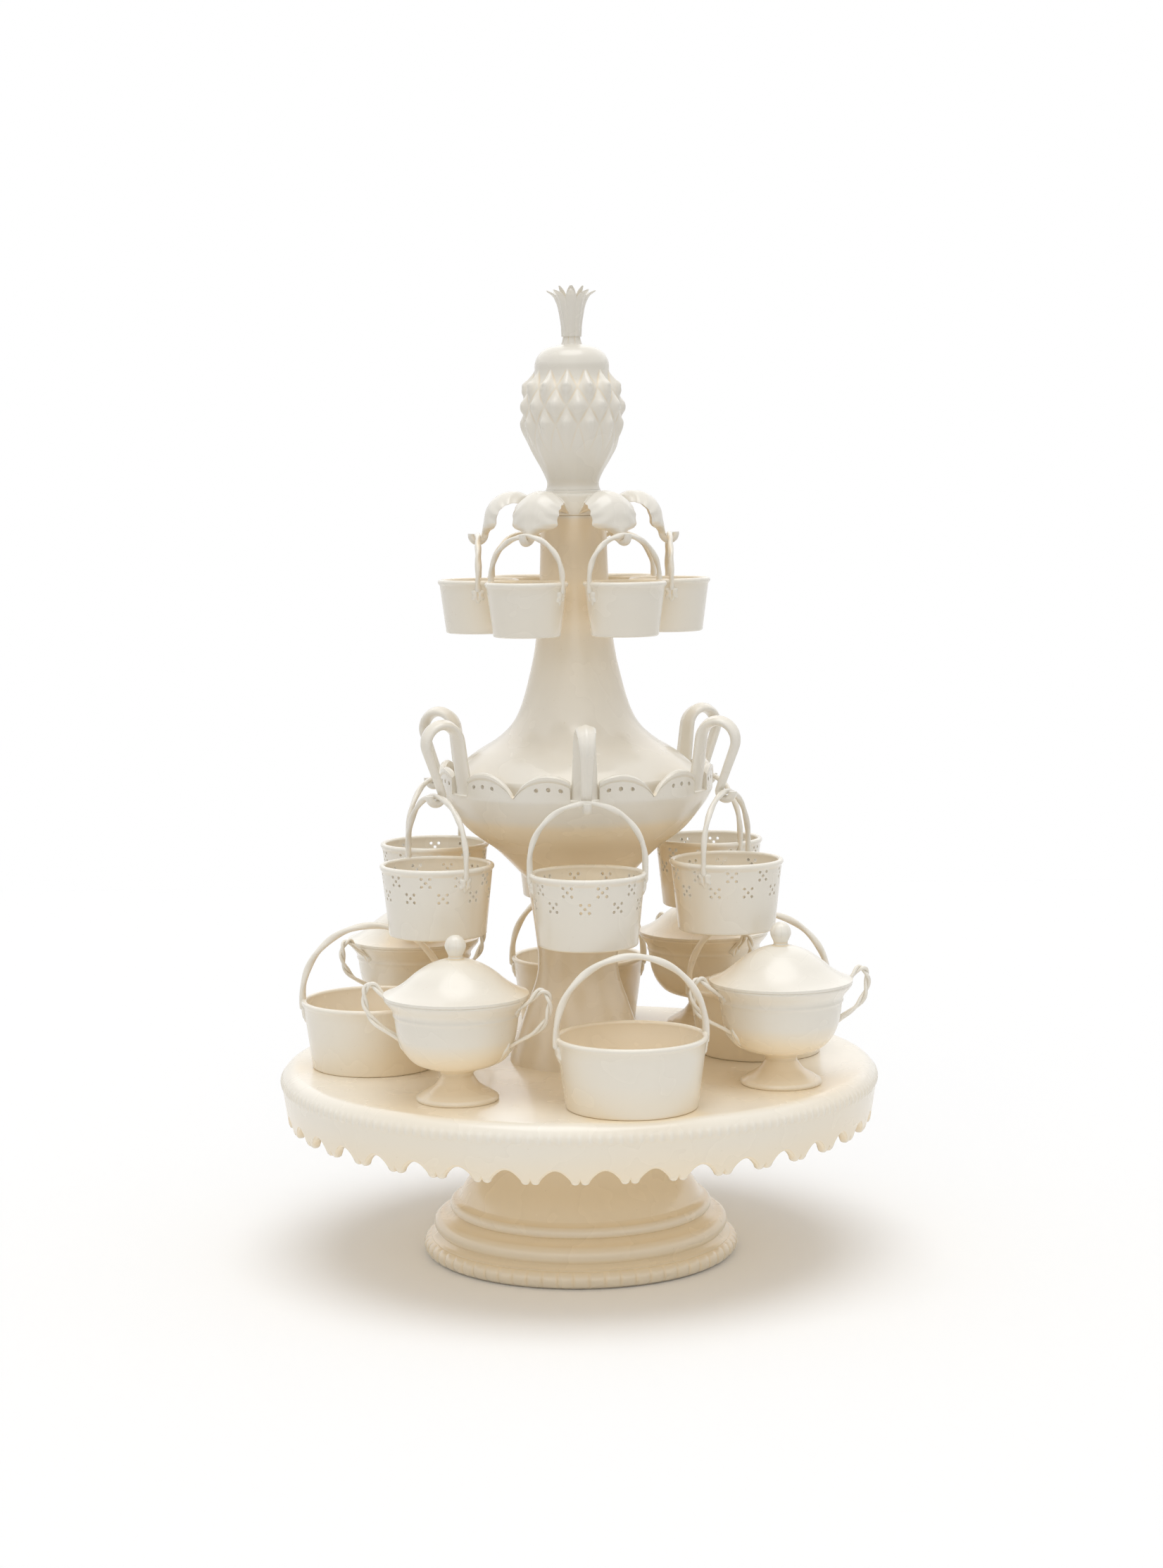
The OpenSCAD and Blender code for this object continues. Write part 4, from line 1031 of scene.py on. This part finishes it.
def ears_shell(k):
    """Two ears: in each a pair of strands winds about a looped path, close together on the loop and parted
    at the roots, with leaves laid on the cup below and under the rim."""
    r, h, out = k.tureen_r, k.tureen_h, k.ear_reach
    line = curve([
        [r - 4.6, 0.9 * h], [r + 2.5, 0.985 * h], [out - 8, 1.08 * h], [out - 3.5, 1.05 * h],
        [out - 2.2, 0.94 * h], [out - 4.5, 0.8 * h], [out - 11, 0.685 * h], [r - 5.5, 0.585 * h],
        [0.735 * r - 1.4, 0.51 * h]], 12)
    t = np.linspace(0, 1, len(line))
    close = 1.08
    parted = close + 1.5 * stations(t, [[0, 1], [0.12, 0], [0.72, 0], [1, 1.2]], 3)
    turn = np.pi / 2 + TURN * stations(t, [[0, 0], [0.15, 0], [0.75, 2], [1, 2]], 6)
    d = along(line)
    parts = []
    for phase in (0, np.pi):
        off = np.minimum(parted * np.cos(turn + phase), close)
        beside = parted * np.sin(turn + phase)
        path = np.column_stack([line[:, 0] - d[:, 1] * off, beside, line[:, 1] + d[:, 0] * off])
        parts.append(skin(tube(path, k.strand_r, 14, plane=(0, 1, 0))))
    side = np.vstack([cup_side(k), [[r - 0.4, h]]])
    for bearing, z, tall, broad in (
            (0.17, 0.5, 10, 5.5), (-0.17, 0.5, 10, 5.5), (0, 0.445, 9, 6), (0, 0.87, 6.5, 8)):
        parts.append(skin(leaf_pad(side, z * h, bearing, tall, broad, 1.5, 2)))
    ear = joined(parts)
    return joined([ear, moved(ear, np.pi)])


def cover_shell(k):
    """Cover: flange, eaves, ogee dome and bud knob carried round the axis; the bud is drawn in between
    eight petals."""
    r, h, flange = k.tureen_r, k.cover_h, mouth_r(k) - PLAY
    side = curve([
        [r, 1.8], [r - 5.6, 0.18 * h], [r - 12.5, 0.375 * h], [0.56 * r, 0.62 * h], [0.38 * r, 0.845 * h],
        [0.21 * r, 0.97 * h], [5.4, h]], 8)
    inner = inset(side, k.tureen_wall)
    inner = inner[(inner[:, 0] < flange - 3.5) & (inner[:, 0] > 6)][::-1]
    bud = [0, h] + curve([
        [4.5, 0.7], [4.3, 2], [4.9, 3.6], [6.3, 6.6], [6.35, 9], [5, 12], [2.6, 13.9], [0.6, 14.4]], 6)
    eaves = rounded([
        [flange - 2.6, 0], [flange - 2.2, -3], [flange - 0.4, -3], [flange, 0], [r, 0], [r, 1.8]], 0.5, 3)
    line = np.vstack([[[1, h - k.tureen_wall]], inner, eaves[:-1], side, bud])
    up = line[:, 1:] - h
    petals, deepest = 8, 0.3
    depth = deepest * np.clip((up - 4) / 2, 0, 1) * np.clip((13.4 - up) / 2, 0, 1)
    a = ring(TUREEN_STEPS)[None]
    groove = 1 - np.abs(np.cos(petals / 2 * a))**0.5
    return skin(lathe(line[:, :1] - depth * groove, line[:, 1:], a))


BASKET_TURNS = from_front(np.radians([10, 0, 0, 0]))  # bearings of the baskets on the platter
TUREEN_TURNS = np.radians([-15, 19, -60, 39])  # bearings of the tureens


def bearings(kind):
    """Bearings of the hanging baskets of one kind, so that their first axes point away from the column."""
    return [np.arctan2(y, x) for x, y, _ in (middle(f"{kind}_{i}") for i in HANGERS)]


def make_baskets(context, kind, size, turns, steps=None):
    """Pieces for the baskets of one kind and their handles, each turned and carried to its node; baskets
    without a number of steps are pierced. size is the start of the names of their sizes."""
    k = in_mm(context, "vessels")
    base, arch, rod = (getattr(k, f"{size}_{part}") for part in ("base_r", "arch", "rod"))
    first = kind + "_1"
    rim, h = reach(first), high(first) - low(first)
    basket = basket_shell(base, rim, h, k, steps) if steps else pierced_basket_shell(base, rim, h, k)
    handle = handle_shell(base, rim, h, arch, rod)
    shells = {}
    for i, turn in enumerate(turns, 1):
        place = middle(f"{kind}_{i}")
        shells[f"{kind}_{i}"] = moved(basket, turn, place)
        shells[f"{kind}_handle_{i}"] = moved(handle, turn, place)
    return make_pieces(context, shells)


# Operators


class CENTREPIECE_OT_foot(bpy.types.Operator):
    """Turn the pedestal foot with its ribbed roll"""

    bl_idname = "centrepiece.foot"
    bl_label = "Pedestal foot"

    def execute(self, context):
        return make_pieces(context, {"pedestal_foot": foot_shell(in_mm(context, "stand"))})


class CENTREPIECE_OT_platter(bpy.types.Operator):
    """Turn the platter with its scalloped apron"""

    bl_idname = "centrepiece.platter"
    bl_label = "Platter"

    def execute(self, context):
        return make_pieces(context, {"platter": platter_shell(in_mm(context, "stand"))})


class CENTREPIECE_OT_stem(bpy.types.Operator):
    """Turn the stem that stands on the platter"""

    bl_idname = "centrepiece.stem"
    bl_label = "Stem"

    def execute(self, context):
        shell = stem_shell(in_mm(context, "tiers"), in_mm(context, "stand"))
        return make_pieces(context, {"lower_stem": shell})


class CENTREPIECE_OT_bowl(bpy.types.Operator):
    """Turn the bowl and pierce its lobed gallery"""

    bl_idname = "centrepiece.bowl"
    bl_label = "Lobed bowl"

    def execute(self, context):
        return make_pieces(context, {"scalloped_bowl": bowl_shell(in_mm(context, "tiers"))})


class CENTREPIECE_OT_arms(bpy.types.Operator):
    """Set the six bowed arms on the bowl"""

    bl_idname = "centrepiece.arms"
    bl_label = "Bowed arms"

    def execute(self, context):
        k = in_mm(context, "tiers")
        arm, first = arm_shell(k), from_front(k.arm_phase)
        return make_pieces(context, {
            f"lower_arm_{i}": moved(arm, first + turn) for i, turn in zip(HANGERS, ring(HOOKS))})


class CENTREPIECE_OT_column(bpy.types.Operator):
    """Turn the trumpet column"""

    bl_idname = "centrepiece.column"
    bl_label = "Trumpet column"

    def execute(self, context):
        shell = column_shell(in_mm(context, "tiers"), in_mm(context, "finial").peg_r)
        return make_pieces(context, {"trumpet_column": shell})


class CENTREPIECE_OT_canopy(bpy.types.Operator):
    """Set the canopy of veined leaves round the spigot"""

    bl_idname = "centrepiece.canopy"
    bl_label = "Leaf canopy"

    def execute(self, context):
        return make_pieces(context, {"leaf_canopy": canopy_shell(in_mm(context, "tiers"))})


class CENTREPIECE_OT_pineapple(bpy.types.Operator):
    """Mould the pineapple and its scales"""

    bl_idname = "centrepiece.pineapple"
    bl_label = "Pineapple"

    def execute(self, context):
        return make_pieces(context, {"pineapple": pineapple_shell(in_mm(context, "finial"))})


class CENTREPIECE_OT_crown(bpy.types.Operator):
    """Set the crown of leaves on the pineapple"""

    bl_idname = "centrepiece.crown"
    bl_label = "Crown"

    def execute(self, context):
        return make_pieces(context, {"pineapple_crown": crown_shell(in_mm(context, "finial"))})


class CENTREPIECE_OT_lower_baskets(bpy.types.Operator):
    """Hang the six pierced baskets from the arms"""

    bl_idname = "centrepiece.lower_baskets"
    bl_label = "Lower baskets"

    def execute(self, context):
        return make_baskets(context, "lower_basket", "lower", bearings("lower_basket"))


class CENTREPIECE_OT_upper_baskets(bpy.types.Operator):
    """Hang the six plain baskets from the leaves"""

    bl_idname = "centrepiece.upper_baskets"
    bl_label = "Upper baskets"

    def execute(self, context):
        return make_baskets(context, "upper_basket", "upper", bearings("upper_basket"), UPPER_STEPS)


class CENTREPIECE_OT_platter_baskets(bpy.types.Operator):
    """Stand the four baskets on the platter"""

    bl_idname = "centrepiece.platter_baskets"
    bl_label = "Platter baskets"

    def execute(self, context):
        return make_baskets(context, "platter_basket", "server", BASKET_TURNS, SERVER_STEPS)


class CENTREPIECE_OT_tureens(bpy.types.Operator):
    """Stand the four tureens with their ears and covers on the platter"""

    bl_idname = "centrepiece.tureens"
    bl_label = "Tureens"

    def execute(self, context):
        k = in_mm(context, "vessels")
        cup, ears, cover = cup_shell(k), ears_shell(k), cover_shell(k)
        shells = {}
        for i, turn in zip(SERVERS, TUREEN_TURNS):
            x, y, z = middle(f"tureen_{i}")
            shells[f"tureen_{i}"] = moved(cup, turn, (x, y, z))
            shells[f"tureen_handles_{i}"] = moved(ears, turn, (x, y, z))
            shells[f"tureen_cover_{i}"] = moved(cover, turn, (x, y, z + k.tureen_h))
        return make_pieces(context, shells)


SENSOR = 36  # width of the camera's film, in millimetres
FLOOR_REACH = 1.6  # half the width of the floor, in metres
FLOOR_POINTS = 7  # points along each side of the floor
FLOOR_LEVEL = -0.0003  # level of the floor, just under the foot, in metres
LAMPS = (  # name, the setting that gives its strength, and its width, tilt and turn in degrees
    ("overhead_silk", "silk", 44, 6, 0),
    ("wide_silk", "wide", 150, 0, 0),
    ("front_silk", "front", 60, 60, -8))


class CENTREPIECE_OT_stage(bpy.types.Operator):
    """Lay the pale floor, set the soft light and place the camera"""

    bl_idname = "centrepiece.stage"
    bl_label = "Stage"

    def execute(self, context):
        scene = context.scene
        setting = scene.centrepiece.stage
        scene.view_settings.view_transform = "Standard"
        self.floor(scene, setting)
        self.sky(scene, setting)
        for name, strength, width, tilt, turn in LAMPS:
            lamp = bpy.data.lights.new(name, "SUN")
            lamp.energy, lamp.angle = getattr(setting, strength), radians(width)
            light = bpy.data.objects.new(name, lamp)
            light.rotation_euler = (radians(tilt), 0, radians(turn))
            scene.collection.objects.link(light)
        self.camera(scene, setting)
        return {"FINISHED"}

    def camera(self, scene, setting):
        """The camera in front of the object, tipped down by its pitch and turned by its roll."""
        lens = bpy.data.cameras.new("camera")
        lens.lens, lens.sensor_width, lens.shift_x = setting.lens, SENSOR, setting.shift
        lens.dof.use_dof = False
        camera = bpy.data.objects.new("camera", lens)
        tip = Euler((radians(90) - setting.pitch, 0, 0)).to_matrix().to_4x4()
        place = Matrix.Translation((0, -setting.eye_back, setting.eye_up))
        camera.matrix_world = place @ (tip @ Matrix.Rotation(setting.roll, 4, "Z"))
        scene.collection.objects.link(camera)
        scene.camera = camera

    def seen(self, tree):
        """1 for rays from the camera and for mirrored or passing ones, 0 for light."""
        path = add(tree, "ShaderNodeLightPath")
        total = path.outputs["Is Camera Ray"]
        for name in ("Is Glossy Ray", "Is Transmission Ray"):
            plus = add(tree, "ShaderNodeMath", operation="ADD", use_clamp=True)
            tree.links.new(total, plus.inputs[0])
            tree.links.new(path.outputs[name], plus.inputs[1])
            total = plus.outputs[0]
        return total

    def floor(self, scene, setting):
        """A wide even sheet, white where light reaches it: its own colour, and a little added where it is
        seen."""
        side = np.linspace(-FLOOR_REACH, FLOOR_REACH, FLOOR_POINTS)
        x, y = (d.ravel() for d in np.meshgrid(side, side))
        ids = np.arange(x.size).reshape(FLOOR_POINTS, FLOOR_POINTS)
        quads = np.stack([ids[:-1, :-1], ids[:-1, 1:], ids[1:, 1:], ids[1:, :-1]], -1).reshape(-1, 4)
        mesh = bpy.data.meshes.new("floor")
        points = np.stack([x, y, np.full(x.size, FLOOR_LEVEL)], 1)
        mesh.from_pydata(points.tolist(), [], quads.tolist())
        paper = bpy.data.materials.new("white_paper")
        paper.use_nodes = True
        tree = paper.node_tree
        tree.nodes.clear()
        lift = spread(tree, self.seen(tree), 0, 1, 0, setting.lift)
        both = add(tree, "ShaderNodeAddShader")
        for socket, shader in zip(both.inputs, (
                add(tree, "ShaderNodeBsdfDiffuse", Color=(*setting.floor, 1)),
                add(tree, "ShaderNodeEmission", Strength=lift))):
            tree.links.new(shader.outputs[0], socket)
        add(tree, "ShaderNodeOutputMaterial", Surface=both.outputs[0])
        mesh.materials.append(paper)
        floor = bpy.data.objects.new("floor", mesh)
        scene.collection.objects.link(floor)

    def sky(self, scene, setting):
        """An even white surround, at full white where it is seen."""
        world = bpy.data.worlds.new("white_surround")
        world.use_nodes = True
        tree = world.node_tree
        level = spread(tree, self.seen(tree), 0, 1, setting.sky, 1)
        feed(tree, tree.nodes["Background"], Color=(1, 1, 1, 1), Strength=level)
        scene.world = world


class CentrepieceSettings(bpy.types.PropertyGroup):
    """All sizes and finishes of the centrepiece."""

    stand: PointerProperty(type=StandSizes)
    tiers: PointerProperty(type=TierSizes)
    finial: PointerProperty(type=FinialSizes)
    vessels: PointerProperty(type=VesselSizes)
    glaze: PointerProperty(type=GlazeTones)
    stage: PointerProperty(type=StageSetting)


OPERATORS = (
    CENTREPIECE_OT_foot, CENTREPIECE_OT_platter, CENTREPIECE_OT_stem, CENTREPIECE_OT_bowl,
    CENTREPIECE_OT_arms, CENTREPIECE_OT_column, CENTREPIECE_OT_canopy, CENTREPIECE_OT_pineapple,
    CENTREPIECE_OT_crown, CENTREPIECE_OT_lower_baskets, CENTREPIECE_OT_upper_baskets,
    CENTREPIECE_OT_platter_baskets, CENTREPIECE_OT_tureens, CENTREPIECE_OT_stage)


class CENTREPIECE_PT_panel(bpy.types.Panel):
    """Pieces and sizes of the centrepiece"""

    bl_idname = "CENTREPIECE_PT_panel"
    bl_label = "Centrepiece"
    bl_space_type = "VIEW_3D"
    bl_region_type = "UI"
    bl_category = "Centrepiece"

    def draw(self, context):
        for maker in OPERATORS:
            self.layout.operator(maker.bl_idname)
        settings = context.scene.centrepiece
        for part in fields(settings):
            group, box = getattr(settings, part.identifier), self.layout.box()
            for field in fields(group):
                box.prop(group, field.identifier)


CLASSES = (
    StandSizes, TierSizes, FinialSizes, VesselSizes, GlazeTones, StageSetting, CentrepieceSettings,
    *OPERATORS, CENTREPIECE_PT_panel)


def register():
    for cls in CLASSES:
        bpy.utils.register_class(cls)
    bpy.types.Scene.centrepiece = PointerProperty(type=CentrepieceSettings)


def unregister():
    del bpy.types.Scene.centrepiece
    for cls in reversed(CLASSES):
        bpy.utils.unregister_class(cls)


def main():
    """Make every piece and the stage."""
    register()
    for maker in OPERATORS:
        group, name = maker.bl_idname.split(".")
        getattr(getattr(bpy.ops, group), name)()


if __name__ == "__main__":
    main()
